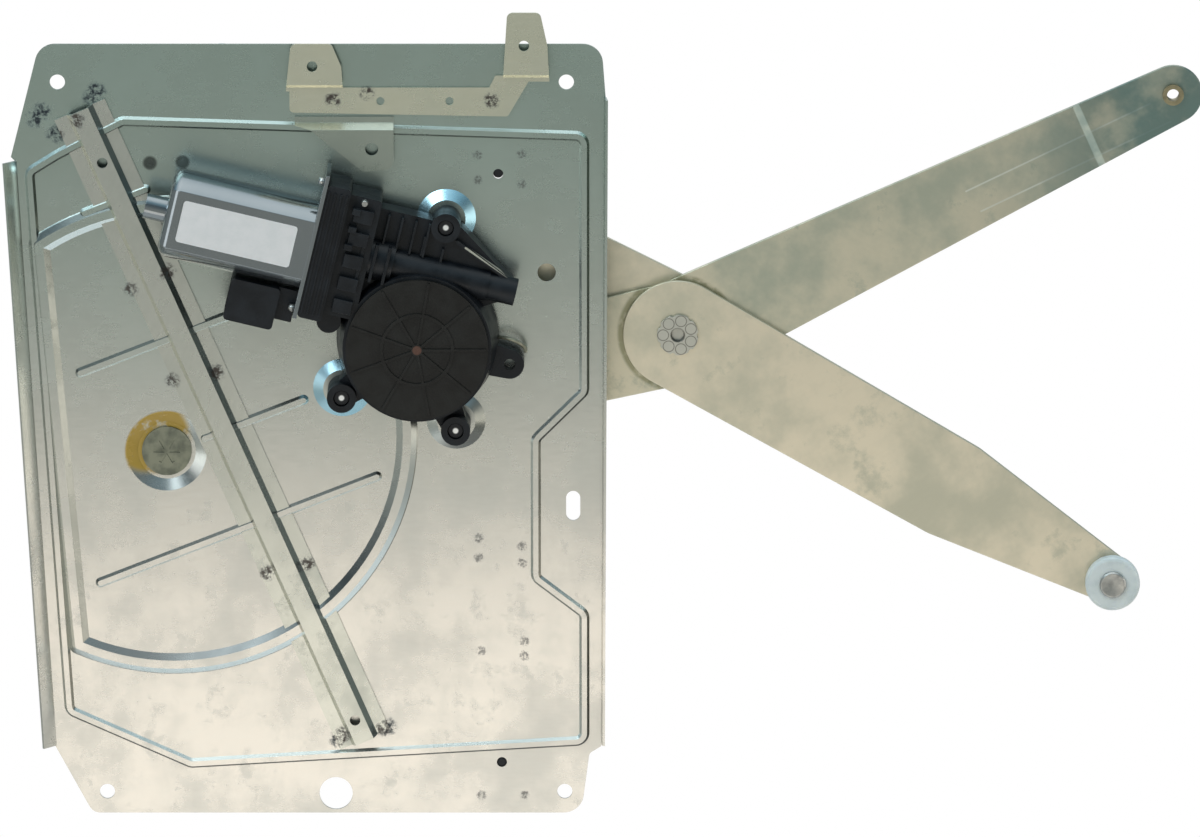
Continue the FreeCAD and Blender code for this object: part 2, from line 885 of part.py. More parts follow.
# Rollers on headed pins: one in front of the front half, one behind the rear half
def roller_pair(name, centre, seat, side):
    # side is -1 where the roller stands in front of its arm, and 1 where it is behind
    neck_r = roller_pin_r - roller_neck
    head = 2 * side_gap + roller_l
    top = head + roller_head_t
    pin = turned(centre, [
        (0, -arm_t),
        (neck_r, -arm_t),
        (neck_r, 0),
        (roller_seat_r, 0),
        (roller_seat_r, side_gap),
        (roller_pin_r, side_gap),
        (roller_pin_r, head),
        (roller_head_r, head),
        (roller_head_r, top - roller_head_rim / 2),
        (roller_head_r - roller_head_rim / 2, top),
        (roller_head_r - roller_head_rim, top),
        (roller_head_rim, top - roller_head_rim / 2),
        (0, top - roller_head_rim / 2),
    ], seat, side)
    save(name + "_pin", one(pin))
    low = 1.5 * side_gap
    high = low + roller_l
    ease = roller_round * 0.3
    bore = roller_pin_r + run_gap
    wheel = turned(centre, [
        (bore, low),
        (roller_r - roller_round, low),
        (roller_r - ease, low + ease),
        (roller_r, low + roller_round),
        (roller_r, high - roller_round),
        (roller_r - ease, high - ease),
        (roller_r - roller_round, high),
        (bore, high),
    ], seat, side)
    save(name, one(wheel))


roller_pair("front_roller", front_tip, front_half_y, -1)
roller_pair("rear_roller", rear_tip, rear_back, 1)


# Motor can: a drawn steel tube with two flats, closed and rounded at its nose
def can_wire(shrink):
    radius = can_r - shrink
    flat = can_d / 2 - shrink
    half = math.sqrt(radius * radius - flat * flat)
    return Part.Wire([
        Part.Arc(V(half, -flat, 0), V(radius, 0, 0), V(half, flat, 0)).toShape(),
        Part.LineSegment(V(half, flat, 0), V(-half, flat, 0)).toShape(),
        Part.Arc(V(-half, flat, 0), V(-radius, 0, 0), V(-half, -flat, 0)).toShape(),
        Part.LineSegment(V(-half, -flat, 0), V(half, -flat, 0)).toShape(),
    ])


def can_body(shrink, start, length):
    # the section is drawn in X and Y, pushed out along Z and laid along the motor's axis
    body = Part.Face(can_wire(shrink)).extrude(V(0, 0, length))
    closed = [e for e in body.Edges if abs(e.BoundBox.ZMax) < 0.001]
    body = body.makeFillet(can_end_r - shrink, closed)
    body.rotate(V(0, 0, 0), V(0, 1, 0), 90 - motor_tilt)
    body.translate(on_motor(start, 0, motor_y))
    return body


def axial(radius, start, length):
    return Part.makeCylinder(radius, length, on_motor(start, 0, motor_y), motor_along)


def motor_plate(corners, front, back):
    # corners are (u, v, radius): along the motor's axis and square to it
    flat = [(on_motor(u, v), radius) for u, v, radius in corners]
    return plate_of(rounded_wire([(spot.x, spot.z, radius) for spot, radius in flat]), front, back)


def motor_slab(u0, u1, v0, v1, front, back, r):
    return motor_plate([(u0, v0, r), (u1, v0, r), (u1, v1, r), (u0, v1, r)], front, back)


can_start = -can_l / 2
can_end = can_l / 2
can = can_body(0, can_start, can_l)
can = can.fuse(axial(nose_r, can_start - nose_l, nose_l + can_wall / 2))
can = can.cut(can_body(can_wall, can_start + can_wall, can_l - can_wall))
can = can.cut(axial(nose_r - can_wall, can_start - nose_l + can_wall, nose_l))
save("motor_can", one(can))

flange = motor_slab(can_end, can_end + plate_t, plate_low, plate_high, motor_y - can_d / 2, box_back, 0)
flange = flange.cut(axial(rotor_r, can_end, plate_t))
save("motor_flange", one(flange))

magnets = []
magnet_start = can_start + rotor_start - 2
magnet_l = rotor_l + 4
ring = axial(can_r - can_wall, magnet_start, magnet_l).cut(axial(rotor_r + 1, magnet_start, magnet_l))
for side in (-1, 1):
    low, high = sorted((side * rotor_r / 2, side * can_r))
    keeper = motor_slab(can_start, can_end, low, high, motor_y - magnet_w / 2, motor_y + magnet_w / 2, 0)
    magnets.append(one(ring.common(keeper)))
save("field_magnets", *magnets)

worm_start = can_start - nose_l + can_wall
armature = axial(rotor_r, can_start + rotor_start, rotor_l)
armature = armature.fuse(axial(worm_shaft_r, worm_start + 0.5, tunnel_end - worm_start - 5))
commutator_start = can_start + rotor_start + rotor_l + commutator_gap
armature = armature.fuse(axial(commutator_r, commutator_start, commutator_l))
armature = armature.fuse(axial(worm_r, worm_mid - worm_l / 2, worm_l))
save("armature", one(armature))

tunnel_bore_r = worm_r + 0.8
bore_end = tunnel_end - box_wall
bearings = []
for start, radius in ((worm_start, nose_r - can_wall), (bore_end - bearing_l - 1, tunnel_bore_r)):
    bearing = axial(radius, start, bearing_l).cut(axial(worm_shaft_r + run_gap, start, bearing_l))
    bearings.append(one(bearing))
save("armature_bearings", *bearings)


# Gearbox: a moulded housing with an end frame, a worm tunnel, four lugs and an open front
def housing():
    start = can_end + plate_t
    frame_end = start + frame_l
    block_end = frame_end + block_l
    crown = motor_y - can_d / 2 + 1
    box = cone(pinion_at, box_r, box_base_r, box_front, box_back)
    frame = motor_slab(start, frame_end, frame_low, frame_high, crown, box_back, frame_round)
    box = box.fuse(frame)
    block = motor_slab(frame_end - 1, block_end, block_low, block_high, box_front, box_back, frame_round)
    box = box.fuse(block)
    box = box.fuse(rod(on_motor(lobe_u, lobe_v), lobe_r, box_back - lobe_h, box_back))
    box = box.fuse(axial(barrel_r, start, barrel_end - start))
    box = box.fuse(axial(tunnel_r, start, tunnel_end - tunnel_cap_l - start))
    box = box.fuse(axial(tunnel_cap_r, start, tunnel_end - start))
    top_u = (lugs[0] - motor_at).dot(motor_along)
    saddle_end = tunnel_end - rib_h
    saddle = motor_plate([
        (block_end - 1, saddle_high, frame_round),
        (top_u + lug_r, saddle_high, lug_r),
        (saddle_end, worm_r, 0),
        (saddle_end, -worm_r, 0),
        (worm_mid, -saddle_drop, 0),
        (block_end - 1, -saddle_drop, 0),
    ], box_back - saddle_h, box_back)
    box = box.fuse(saddle)
    rib_front = box_back - saddle_h - rib_h
    rib_start = on_motor(top_u + lug_r, saddle_high - lug_r)
    rib_end = on_motor(saddle_end, worm_r)
    box = box.fuse(link(rib_start, rib_w / 2, rib_end, rib_w / 2 + 0.001, rib_front, box_back))
    for lug in lugs:
        box = box.fuse(rod(lug, lug_r, -boss_h - lug_l, -boss_h))
        inward = pinion_at + (lug - pinion_at) * 0.5
        box = box.fuse(link(lug, lug_r - 1, inward, lug_web_r, box_back - lug_web_h, box_back))
    ear_lug = pinion_at + at(ear_lug_x, ear_lug_z)
    inward = pinion_at + (ear_lug - pinion_at) * 0.5
    box = box.fuse(link(ear_lug, lug_r, inward, lug_web_r, box_back - ear_lug_h, box_back))
    box = box.cut(rod(ear_lug, lug_hole_r, box_back - ear_lug_h, box_back))
    box = box.cut(rod(pinion_at, box_r - box_wall, box_front, box_back - box_wall))
    box = box.cut(rod(pinion_at, cover_r + side_gap, crown, box_front))
    box = box.cut(rod(pinion_at, shaft_r + run_gap, box_front, 0))
    box = box.cut(axial(tunnel_bore_r, can_end, bore_end - can_end))
    box = box.cut(axial(rotor_r, can_end, frame_l))
    for lug in lugs:
        box = box.cut(rod(lug, lug_hole_r, box_front, 0))
        box = box.cut(rod(lug, screw_head_r + pocket_gap, box_front, -boss_h - lug_l + pocket_d))
    return box


save("gearbox_housing", housing().Solids[0])

cover_front = box_front - cover_t
rib_top = cover_front - cover_rib_h
cover = rod(pinion_at, cover_r, cover_front, box_front)
cover = cover.fuse(rod(pinion_at, box_r - box_wall - side_gap, box_front, box_front + cover_spigot))
rib_start = cover_hub_r - cover_rib_w
rib_l = cover_r - rib_start - 1
for i in range(cover_ribs):
    rib = Part.makeBox(rib_l, cover_rib_h, cover_rib_w, V(rib_start, 0, -cover_rib_w / 2))
    rib.rotate(V(0, 0, 0), BACK, 360.0 * i / cover_ribs)
    rib.translate(V(pinion_at.x, rib_top, pinion_at.z))
    cover = cover.fuse(rib)
rim = rod(pinion_at, cover_ring_r + cover_ring_w / 2, rib_top, cover_front)
cover = cover.fuse(rim.cut(rod(pinion_at, cover_ring_r - cover_ring_w / 2, rib_top, cover_front)))
save("gearbox_cover", one(cover.fuse(rod(pinion_at, cover_hub_r, rib_top, cover_front))))

wheel_back = motor_y + wheel_t / 2
wheel_r = worm_drop - worm_r - side_gap
wheel = rod(pinion_at, wheel_r, wheel_back - wheel_t, wheel_back).cut(
    rod(pinion_at, shaft_r, wheel_back - wheel_t, wheel_back))
save("worm_wheel", one(wheel))

screws = []
screw_seat = -boss_h - lug_l + pocket_d
for lug in lugs:
    screw = rod(lug, lug_hole_r - 0.2, screw_seat, sheet_t + screw_end)
    screw = screw.fuse(rod(lug, screw_head_r, screw_seat - screw_head_t, screw_seat))
    screws.append(one(screw))
save("gearbox_screws", *screws)


# Connector: an open moulded socket beside the can, with two terminal blades
def connector():
    u1 = can_end - plug_back
    u0 = u1 - socket_l
    v1 = -can_r - socket_gap
    v0 = v1 - socket_h
    floor = u1 - socket_floor
    front = motor_y - socket_w / 2
    back = motor_y + socket_w / 2
    shell = motor_slab(u0, u1, v0, v1, front, back, frame_round)
    shell = shell.cut(motor_slab(u0 - 1, floor, v0 + socket_wall, v1 - socket_wall,
                                 front + socket_wall, back - socket_wall, 0))
    neck = motor_slab(u1 - 1, can_end, v0 + neck_inset, v1, front + neck_inset, back - neck_inset, 0)
    middle = (v0 + v1) / 2
    blades = []
    for y in (-terminal_pitch / 2, terminal_pitch / 2):
        blades.append(motor_slab(floor - terminal_l, floor, middle - terminal_w / 2, middle + terminal_w / 2,
                                 motor_y + y - terminal_t / 2, motor_y + y + terminal_t / 2, 0))
    return one(shell.fuse(neck)), blades


shell, blades = connector()
save("connector_shell", shell)
save("terminal_blades", *blades)
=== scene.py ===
import bpy
import bmesh
import json
import math
from mathutils import Matrix, Vector


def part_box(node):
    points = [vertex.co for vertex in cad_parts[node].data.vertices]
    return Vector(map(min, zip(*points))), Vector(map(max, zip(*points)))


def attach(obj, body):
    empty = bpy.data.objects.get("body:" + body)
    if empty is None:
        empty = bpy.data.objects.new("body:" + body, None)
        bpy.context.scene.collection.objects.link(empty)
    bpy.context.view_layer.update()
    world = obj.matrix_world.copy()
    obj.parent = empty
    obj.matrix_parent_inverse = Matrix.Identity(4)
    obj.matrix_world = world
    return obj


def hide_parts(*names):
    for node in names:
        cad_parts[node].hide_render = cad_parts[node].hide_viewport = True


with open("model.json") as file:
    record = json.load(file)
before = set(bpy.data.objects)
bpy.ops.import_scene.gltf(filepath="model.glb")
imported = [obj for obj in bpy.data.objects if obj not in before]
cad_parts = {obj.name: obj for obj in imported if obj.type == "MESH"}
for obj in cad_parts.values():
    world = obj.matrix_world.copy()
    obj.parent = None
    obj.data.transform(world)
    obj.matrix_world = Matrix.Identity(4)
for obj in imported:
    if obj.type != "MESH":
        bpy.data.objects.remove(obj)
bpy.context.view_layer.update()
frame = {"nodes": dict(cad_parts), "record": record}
nodes = frame["nodes"]
record = frame["record"]

# The view: the regulator is seen from a little above and from far off with a long lens, so
# that half a millimetre of the sheet fills one pixel. The tilt shortens heights by 2.6 percent,
# and the gain shares that between width and height.
PIXEL = 0.0005
PICTURE = (1200, 837)
ORIGIN_PX = (337.5, 799.0)
CAMERA_OFF = 5.5
CAMERA_RISE = math.radians(13)
FRAME_GAIN = 1.013
SENSOR = 36.0


def spot(px, py, y=0.0):
    return Vector(((px - ORIGIN_PX[0]) * PIXEL, y, (ORIGIN_PX[1] - py) * PIXEL))


camera_data = bpy.data.cameras.new("camera")
camera_data.sensor_width = SENSOR
camera_data.lens = SENSOR * CAMERA_OFF * FRAME_GAIN / (PICTURE[0] * PIXEL)
camera_data.clip_start = 0.05
camera_data.clip_end = 20.0
camera = bpy.data.objects.new("camera", camera_data)
camera_way = Vector((0, -math.cos(CAMERA_RISE), math.sin(CAMERA_RISE)))
camera.location = spot(PICTURE[0] / 2, PICTURE[1] / 2) + camera_way * CAMERA_OFF
camera.rotation_euler = (math.radians(90) - CAMERA_RISE, 0, 0)
bpy.context.scene.collection.objects.link(camera)
bpy.context.scene.camera = camera
bpy.context.scene.view_settings.view_transform = "Standard"

# The studio: a room that shows as plain white, and that zinc reflects as grey bands, dark above
# the horizon and bright overhead. Of its five soft lamps the high one in front is cool and the
# low one warm. A pale floor lies below the hanging regulator.
FLOOR_DROP = 0.25
FLOOR_R = 0.75
FLOOR_X = 0.13
LAMP_POWER = 11.0
LAMP_AIM = Vector((0.1, 0, 0.19))

world = bpy.data.worlds.new("studio")
bpy.context.scene.world = world
world.use_nodes = True
tree = world.node_tree
tree.nodes.clear()


def add(tree, kind, **settings):
    node = tree.nodes.new(kind)
    for key, value in settings.items():
        if key.startswith("in_"):
            node.inputs[key[3:].replace("_", " ")].default_value = value
        else:
            setattr(node, key, value)
    return node


def ramp(tree, fac, stops):
    node = add(tree, "ShaderNodeValToRGB")
    elements = node.color_ramp.elements
    while len(elements) < len(stops):
        elements.new(0.5)
    for element, (place, colour) in zip(elements, stops):
        element.position = place
        element.color = (*colour, 1)
    tree.links.new(fac, node.inputs["Fac"])
    return node


direction = add(tree, "ShaderNodeTexCoord")
parts = add(tree, "ShaderNodeSeparateXYZ")
tree.links.new(direction.outputs["Generated"], parts.inputs[0])
height = add(tree, "ShaderNodeMapRange")
height.inputs["From Min"].default_value = -1.0
height.inputs["From Max"].default_value = 1.0
tree.links.new(parts.outputs["Z"], height.inputs["Value"])
room = ramp(tree, height.outputs[0], [
    (0.0, (0.80, 0.90, 1.0)), (0.16, (0.55, 0.62, 0.66)), (0.30, (0.46, 0.50, 0.48)),
    (0.42, (0.60, 0.62, 0.58)), (0.56, (0.34, 0.40, 0.41)), (0.72, (0.14, 0.20, 0.24)),
    (0.88, (0.48, 0.77, 0.93)), (1.0, (2.1, 2.25, 2.3))])
rays = add(tree, "ShaderNodeLightPath")
back = add(tree, "ShaderNodeBackground", in_Strength=0.75)
white = add(tree, "ShaderNodeBackground", in_Color=(1, 1, 1, 1), in_Strength=1.0)
seen = add(tree, "ShaderNodeMath", operation="MAXIMUM")
pick = add(tree, "ShaderNodeMixShader")
out = add(tree, "ShaderNodeOutputWorld")
tree.links.new(room.outputs[0], back.inputs["Color"])
tree.links.new(rays.outputs["Is Camera Ray"], seen.inputs[0])
tree.links.new(rays.outputs["Is Transmission Ray"], seen.inputs[1])
tree.links.new(seen.outputs[0], pick.inputs[0])
tree.links.new(back.outputs[0], pick.inputs[1])
tree.links.new(white.outputs[0], pick.inputs[2])
tree.links.new(pick.outputs[0], out.inputs["Surface"])

for name, place, size, power, tint in (
    ("key_lamp", (-0.45, -0.75, 1.05), (0.6, 0.6), LAMP_POWER * 0.45, (0.78, 0.92, 1.0)),
    ("low_lamp", (0.04, -0.80, -0.27), (0.85, 0.42), LAMP_POWER * 0.115, (1.0, 0.92, 0.83)),
    ("side_lamp", (1.3, -0.4, 0.15), (0.7, 0.7), LAMP_POWER * 0.28, (1.0, 0.97, 0.92)),
    ("left_lamp", (-1.0, -0.95, 0.25), (0.6, 0.6), LAMP_POWER * 0.16, (0.93, 0.97, 1.0)),
    ("rear_lamp", (0.2, 1.1, 0.9), (0.9, 0.9), LAMP_POWER * 0.15, (1.0, 1.0, 1.0)),
):
    lamp_data = bpy.data.lights.new(name, "AREA")
    lamp_data.energy = power
    lamp_data.shape = "RECTANGLE"
    lamp_data.size, lamp_data.size_y = size
    lamp_data.color = tint
    lamp = bpy.data.objects.new(name, lamp_data)
    lamp.location = place
    aim = LAMP_AIM - Vector(place)
    lamp.rotation_euler = aim.to_track_quat("-Z", "Y").to_euler()
    bpy.context.scene.collection.objects.link(lamp)

floor_mesh = bpy.data.meshes.new("floor")
bm = bmesh.new()
bmesh.ops.create_circle(bm, cap_ends=True, segments=64, radius=FLOOR_R)
bm.to_mesh(floor_mesh)
bm.free()
floor = bpy.data.objects.new("floor", floor_mesh)
floor.location = (FLOOR_X, 0, -FLOOR_DROP)
bpy.context.scene.collection.objects.link(floor)
floor_paint = bpy.data.materials.new("floor_paint")
floor_paint.use_nodes = True
tree = floor_paint.node_tree
tree.nodes.clear()
where = add(tree, "ShaderNodeTexCoord")
away = add(tree, "ShaderNodeVectorMath", operation="LENGTH")
fade = add(tree, "ShaderNodeMapRange", interpolation_type="SMOOTHSTEP")
fade.inputs["From Min"].default_value = FLOOR_R * 0.55
fade.inputs["From Max"].default_value = FLOOR_R * 0.98
tree.links.new(where.outputs["Object"], away.inputs[0])
tree.links.new(away.outputs["Value"], fade.inputs["Value"])
matt = add(tree, "ShaderNodeBsdfDiffuse", in_Color=(0.94, 0.85, 0.80, 1))
clear = add(tree, "ShaderNodeBsdfTransparent")
blend = add(tree, "ShaderNodeMixShader")
out = add(tree, "ShaderNodeOutputMaterial")
tree.links.new(fade.outputs[0], blend.inputs[0])
tree.links.new(matt.outputs[0], blend.inputs[1])
tree.links.new(clear.outputs[0], blend.inputs[2])
tree.links.new(blend.outputs[0], out.inputs["Surface"])
floor_mesh.materials.append(floor_paint)


# The carrier sheet: galvanised steel 1.2 mm thick, pressed with a stiffening bead, a relief
# for the sector and four rungs. Its zinc is satin, with faint rolling streaks and stains.
def group(name, inputs, outputs):
    tree = bpy.data.node_groups.new(name, "ShaderNodeTree")
    for label, kind, value in inputs:
        socket = tree.interface.new_socket(label, in_out="INPUT", socket_type=kind)
        socket.default_value = value
    for label, kind in outputs:
        tree.interface.new_socket(label, in_out="OUTPUT", socket_type=kind)
    start = tree.nodes.new("NodeGroupInput")
    end = tree.nodes.new("NodeGroupOutput")
    return tree, start, end


NUMBER, COLOUR, VECTOR = "NodeSocketFloat", "NodeSocketColor", "NodeSocketVector"


def noise(tree, vector, scale, detail=3.0, roughness=0.55, stretch=None):
    if stretch:
        mapping = add(tree, "ShaderNodeMapping")
        mapping.inputs["Scale"].default_value = stretch
        tree.links.new(vector, mapping.inputs["Vector"])
        vector = mapping.outputs[0]
    node = add(tree, "ShaderNodeTexNoise")
    node.inputs["Detail"].default_value = detail
    node.inputs["Roughness"].default_value = roughness
    node.inputs["Scale"].default_value = scale
    tree.links.new(vector, node.inputs["Vector"])
    return node.outputs["Fac"]


def feed(tree, value, socket):
    if isinstance(value, bpy.types.NodeSocket):
        tree.links.new(value, socket)
    else:
        socket.default_value = value


def span(tree, value, low, high, to_low=0.0, to_high=1.0):
    node = add(tree, "ShaderNodeMapRange", interpolation_type="SMOOTHSTEP")
    node.inputs["From Min"].default_value = low
    node.inputs["From Max"].default_value = high
    node.inputs["To Min"].default_value = to_low
    node.inputs["To Max"].default_value = to_high
    tree.links.new(value, node.inputs["Value"])
    return node.outputs[0]


def mix(tree, fac, a, b, blend_type="MIX"):
    # inputs 0, 6 and 7 are the share and the two colours, and output 2 is the mixed colour
    node = add(tree, "ShaderNodeMix", data_type="RGBA", blend_type=blend_type)
    for value, socket in ((fac, 0), (a, 6), (b, 7)):
        feed(tree, value, node.inputs[socket])
    return node.outputs[2]


def combine(tree, operation, a, b):
    node = add(tree, "ShaderNodeMath", operation=operation)
    feed(tree, a, node.inputs[0])
    feed(tree, b, node.inputs[1])
    return node.outputs[0]


def zinc_group():
    # rolled zinc: broad clouds, fine grain along the roll, and dull stains
    tree, start, end = group("rolled_zinc", [
        ("Vector", VECTOR, (0, 0, 0)), ("Clean", COLOUR, (0.6, 0.62, 0.6, 1)),
        ("Stain", COLOUR, (0.4, 0.42, 0.4, 1)),
        ("Staining", NUMBER, 0.5), ("Streaks", NUMBER, 0.5), ("Satin", NUMBER, 0.22)],
        [("Colour", COLOUR), ("Roughness", NUMBER), ("Height", NUMBER)])
    vector = start.outputs["Vector"]
    clouds = span(tree, noise(tree, vector, 17.0, 5.0, 0.62), 0.40, 0.66)
    patches = span(tree, noise(tree, vector, 60.0, 6.0, 0.68), 0.50, 0.72)
    grain = noise(tree, vector, 320.0, 2.0, 0.5, (0.35, 1, 1.6))
    fine = noise(tree, vector, 1500.0, 2.0, 0.6)
    dirt = combine(tree, "MAXIMUM", clouds, patches)
    dirt = combine(tree, "MULTIPLY", dirt, start.outputs["Staining"])
    colour = mix(tree, dirt, start.outputs["Clean"], start.outputs["Stain"])
    streak = combine(tree, "MULTIPLY", span(tree, grain, 0.35, 0.65), start.outputs["Streaks"])
    faint = combine(tree, "MULTIPLY", streak, 0.12)
    colour = mix(tree, faint, colour, (0.9, 0.92, 0.9, 1), "SOFT_LIGHT")
    rough = combine(tree, "MULTIPLY", dirt, 0.18)
    rough = combine(tree, "ADD", rough, combine(tree, "MULTIPLY", streak, 0.03))
    rough = combine(tree, "ADD", rough, start.outputs["Satin"])
    tall = combine(tree, "MULTIPLY", grain, 0.5)
    tall = combine(tree, "ADD", tall, combine(tree, "MULTIPLY", fine, 0.5))
    tree.links.new(colour, end.inputs["Colour"])
    tree.links.new(rough, end.inputs["Roughness"])
    tree.links.new(tall, end.inputs["Height"])
    return tree


ZINC = zinc_group()


def new_material(name, metallic=0.0, roughness=0.5):
    made = bpy.data.materials.new(name)
    made.use_nodes = True
    tree = made.node_tree
    shader = tree.nodes["Principled BSDF"]
    shader.inputs["Metallic"].default_value = metallic
    shader.inputs["Roughness"].default_value = roughness
    place = add(tree, "ShaderNodeTexCoord").outputs["Object"]
    return made, tree, shader, place


def bump(tree, shader, tall, distance):
    node = add(tree, "ShaderNodeBump", in_Strength=1.0, in_Distance=distance)
    tree.links.new(tall, node.inputs["Height"])
    tree.links.new(node.outputs[0], shader.inputs["Normal"])


def zinc_material(name, clean, stain, staining, streaks, turn=0.0, satin=0.22):
    made, tree, shader, place = new_material(name, 0.9)
    mapping = add(tree, "ShaderNodeMapping")
    mapping.inputs["Rotation"].default_value = (0, turn, 0)
    tree.links.new(place, mapping.inputs["Vector"])
    use = add(tree, "ShaderNodeGroup", node_tree=ZINC)
    use.inputs["Clean"].default_value = (*clean, 1)
    use.inputs["Stain"].default_value = (*stain, 1)
    use.inputs["Staining"].default_value = staining
    use.inputs["Streaks"].default_value = streaks
    use.inputs["Satin"].default_value = satin
    tree.links.new(mapping.outputs[0], use.inputs["Vector"])
    tree.links.new(use.outputs["Colour"], shader.inputs["Base Color"])
    tree.links.new(use.outputs["Roughness"], shader.inputs["Roughness"])
    bump(tree, shader, use.outputs["Height"], 0.000005)
    return made, tree, shader, place, use.outputs["Colour"]


def mark_group():
    # 1 near a short line in the sheet's plane, fading to 0 between two distances, at any depth
    tree, start, end = group("mark", [
        ("Vector", VECTOR, (0, 0, 0)), ("Start", VECTOR, (0, 0, 0)), ("Way", VECTOR, (0, 0, 0)),
        ("Inner", NUMBER, 0.001), ("Outer", NUMBER, 0.002)], [("Mask", NUMBER)])

    def vector_math(operation, a, b):
        node = add(tree, "ShaderNodeVectorMath", operation=operation)
        feed(tree, a, node.inputs[0])
        feed(tree, b, node.inputs[1])
        return node.outputs["Value" if operation in ("DOT_PRODUCT", "DISTANCE") else "Vector"]

    shift = vector_math("SUBTRACT", start.outputs["Vector"], start.outputs["Start"])
    flat = vector_math("MULTIPLY", shift, (1, 0, 1))
    way = start.outputs["Way"]
    square = combine(tree, "ADD", vector_math("DOT_PRODUCT", way, way), 1e-9)
    share = combine(tree, "DIVIDE", vector_math("DOT_PRODUCT", flat, way), square)
    share = combine(tree, "MINIMUM", combine(tree, "MAXIMUM", share, 0.0), 1.0)
    nearest = add(tree, "ShaderNodeVectorMath", operation="SCALE")
    tree.links.new(way, nearest.inputs[0])
    tree.links.new(share, nearest.inputs["Scale"])
    away = vector_math("DISTANCE", flat, nearest.outputs["Vector"])
    fade = add(tree, "ShaderNodeMapRange", interpolation_type="SMOOTHSTEP")
    tree.links.new(away, fade.inputs["Value"])
    tree.links.new(start.outputs["Inner"], fade.inputs["From Min"])
    tree.links.new(start.outputs["Outer"], fade.inputs["From Max"])
    fade.inputs["To Min"].default_value = 1.0
    fade.inputs["To Max"].default_value = 0.0
    tree.links.new(fade.outputs[0], end.inputs["Mask"])
    return tree


MARK = mark_group()


def mark(tree, place, start, finish, inner, outer):
    node = add(tree, "ShaderNodeGroup", node_tree=MARK)
    tree.links.new(place, node.inputs["Vector"])
    node.inputs["Start"].default_value = (start.x, 0, start.z)
    node.inputs["Way"].default_value = (finish.x - start.x, 0, finish.z - start.z)
    node.inputs["Inner"].default_value = inner
    node.inputs["Outer"].default_value = outer
    return node.outputs["Mask"]


def marks(tree, place, centres, radius, ragged):
    # all the marks of one kind, with edges broken up by noise
    total = None
    for px, py in centres:
        centre = spot(px, py)
        one = mark(tree, place, centre, centre, radius * 0.25, radius)
        total = one if total is None else combine(tree, "MAXIMUM", total, one)
    rough = span(tree, noise(tree, place, ragged, 6.0, 0.75), 0.36, 0.66)
    return span(tree, combine(tree, "MULTIPLY", total, combine(tree, "ADD", rough, 0.12)), 0.10, 0.85)


def magnitude(tree, value):
    node = add(tree, "ShaderNodeMath", operation="ABSOLUTE")
    tree.links.new(value, node.inputs[0])
    return node.outputs[0]


def normal_parts(tree):
    normal = add(tree, "ShaderNodeTexCoord").outputs["Normal"]
    split = add(tree, "ShaderNodeSeparateXYZ")
    tree.links.new(normal, split.inputs[0])
    return split


def painted_slope_light(tree, colour, side, flip, bright, dark):
    # painted highlight on the slopes that face one side and painted shade on the slopes that face away,
    # as light would fall on pressed slopes; where flip is 1 the two change places
    normal = add(tree, "ShaderNodeTexCoord").outputs["Normal"]
    facing = add(tree, "ShaderNodeVectorMath", operation="DOT_PRODUCT")
    facing.inputs[1].default_value = side
    tree.links.new(normal, facing.inputs[0])
    turned = facing.outputs["Value"]
    if flip is not None:
        sign = combine(tree, "SUBTRACT", 1.0, combine(tree, "MULTIPLY", flip, 2.0))
        turned = combine(tree, "MULTIPLY", turned, sign)
    slope = span(tree, magnitude(tree, normal_parts(tree).outputs["Y"]), 0.25, 0.40)
    smudges_and_highlight = combine(tree, "MULTIPLY", slope, span(tree, turned, 0.12, 0.60, 0.0, 0.85))
    painted_slope_shade = combine(tree, "MULTIPLY", slope, span(tree, turned, -0.60, -0.12, 0.80, 0.0))
    colour = mix(tree, smudges_and_highlight, colour, (*bright, 1))
    return mix(tree, painted_slope_shade, colour, (*dark, 1))


EDGE = 0.00025
CREASE = math.radians(13)
SAME_POINT = 0.000004
FLAT = math.radians(0.6)


def finished(node, material, edge=EDGE, segments=2):
    # the CAD piece itself with its corners broken, as rolled and stamped metal has them
    source = nodes[node]
    mesh = source.data.copy()
    bm = bmesh.new()
    bm.from_mesh(mesh)
    bmesh.ops.remove_doubles(bm, verts=bm.verts, dist=SAME_POINT)
    bmesh.ops.dissolve_limit(bm, angle_limit=FLAT, verts=bm.verts, edges=bm.edges)
    for face in bm.faces:
        face.smooth = True
    for side in bm.edges:
        side.smooth = len(side.link_faces) != 2 or side.calc_face_angle(0) < CREASE
    bm.to_mesh(mesh)
    bm.free()
    piece = bpy.data.objects.new(node + "_finished", mesh)
    bpy.context.scene.collection.objects.link(piece)
    mesh.materials.clear()
    mesh.materials.append(material)
    rounding = piece.modifiers.new("edge", "BEVEL")
    rounding.width = edge
    rounding.segments = segments
    rounding.limit_method = "ANGLE"
    rounding.angle_limit = CREASE
    rounding.use_clamp_overlap = True
    rounding.harden_normals = True
    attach(piece, body_name(node))
    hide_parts(node)


def body_name(node):
    for name, members in record["behaviour"]["bodies"].items():
        if node in members:
            return name
    raise KeyError(node)
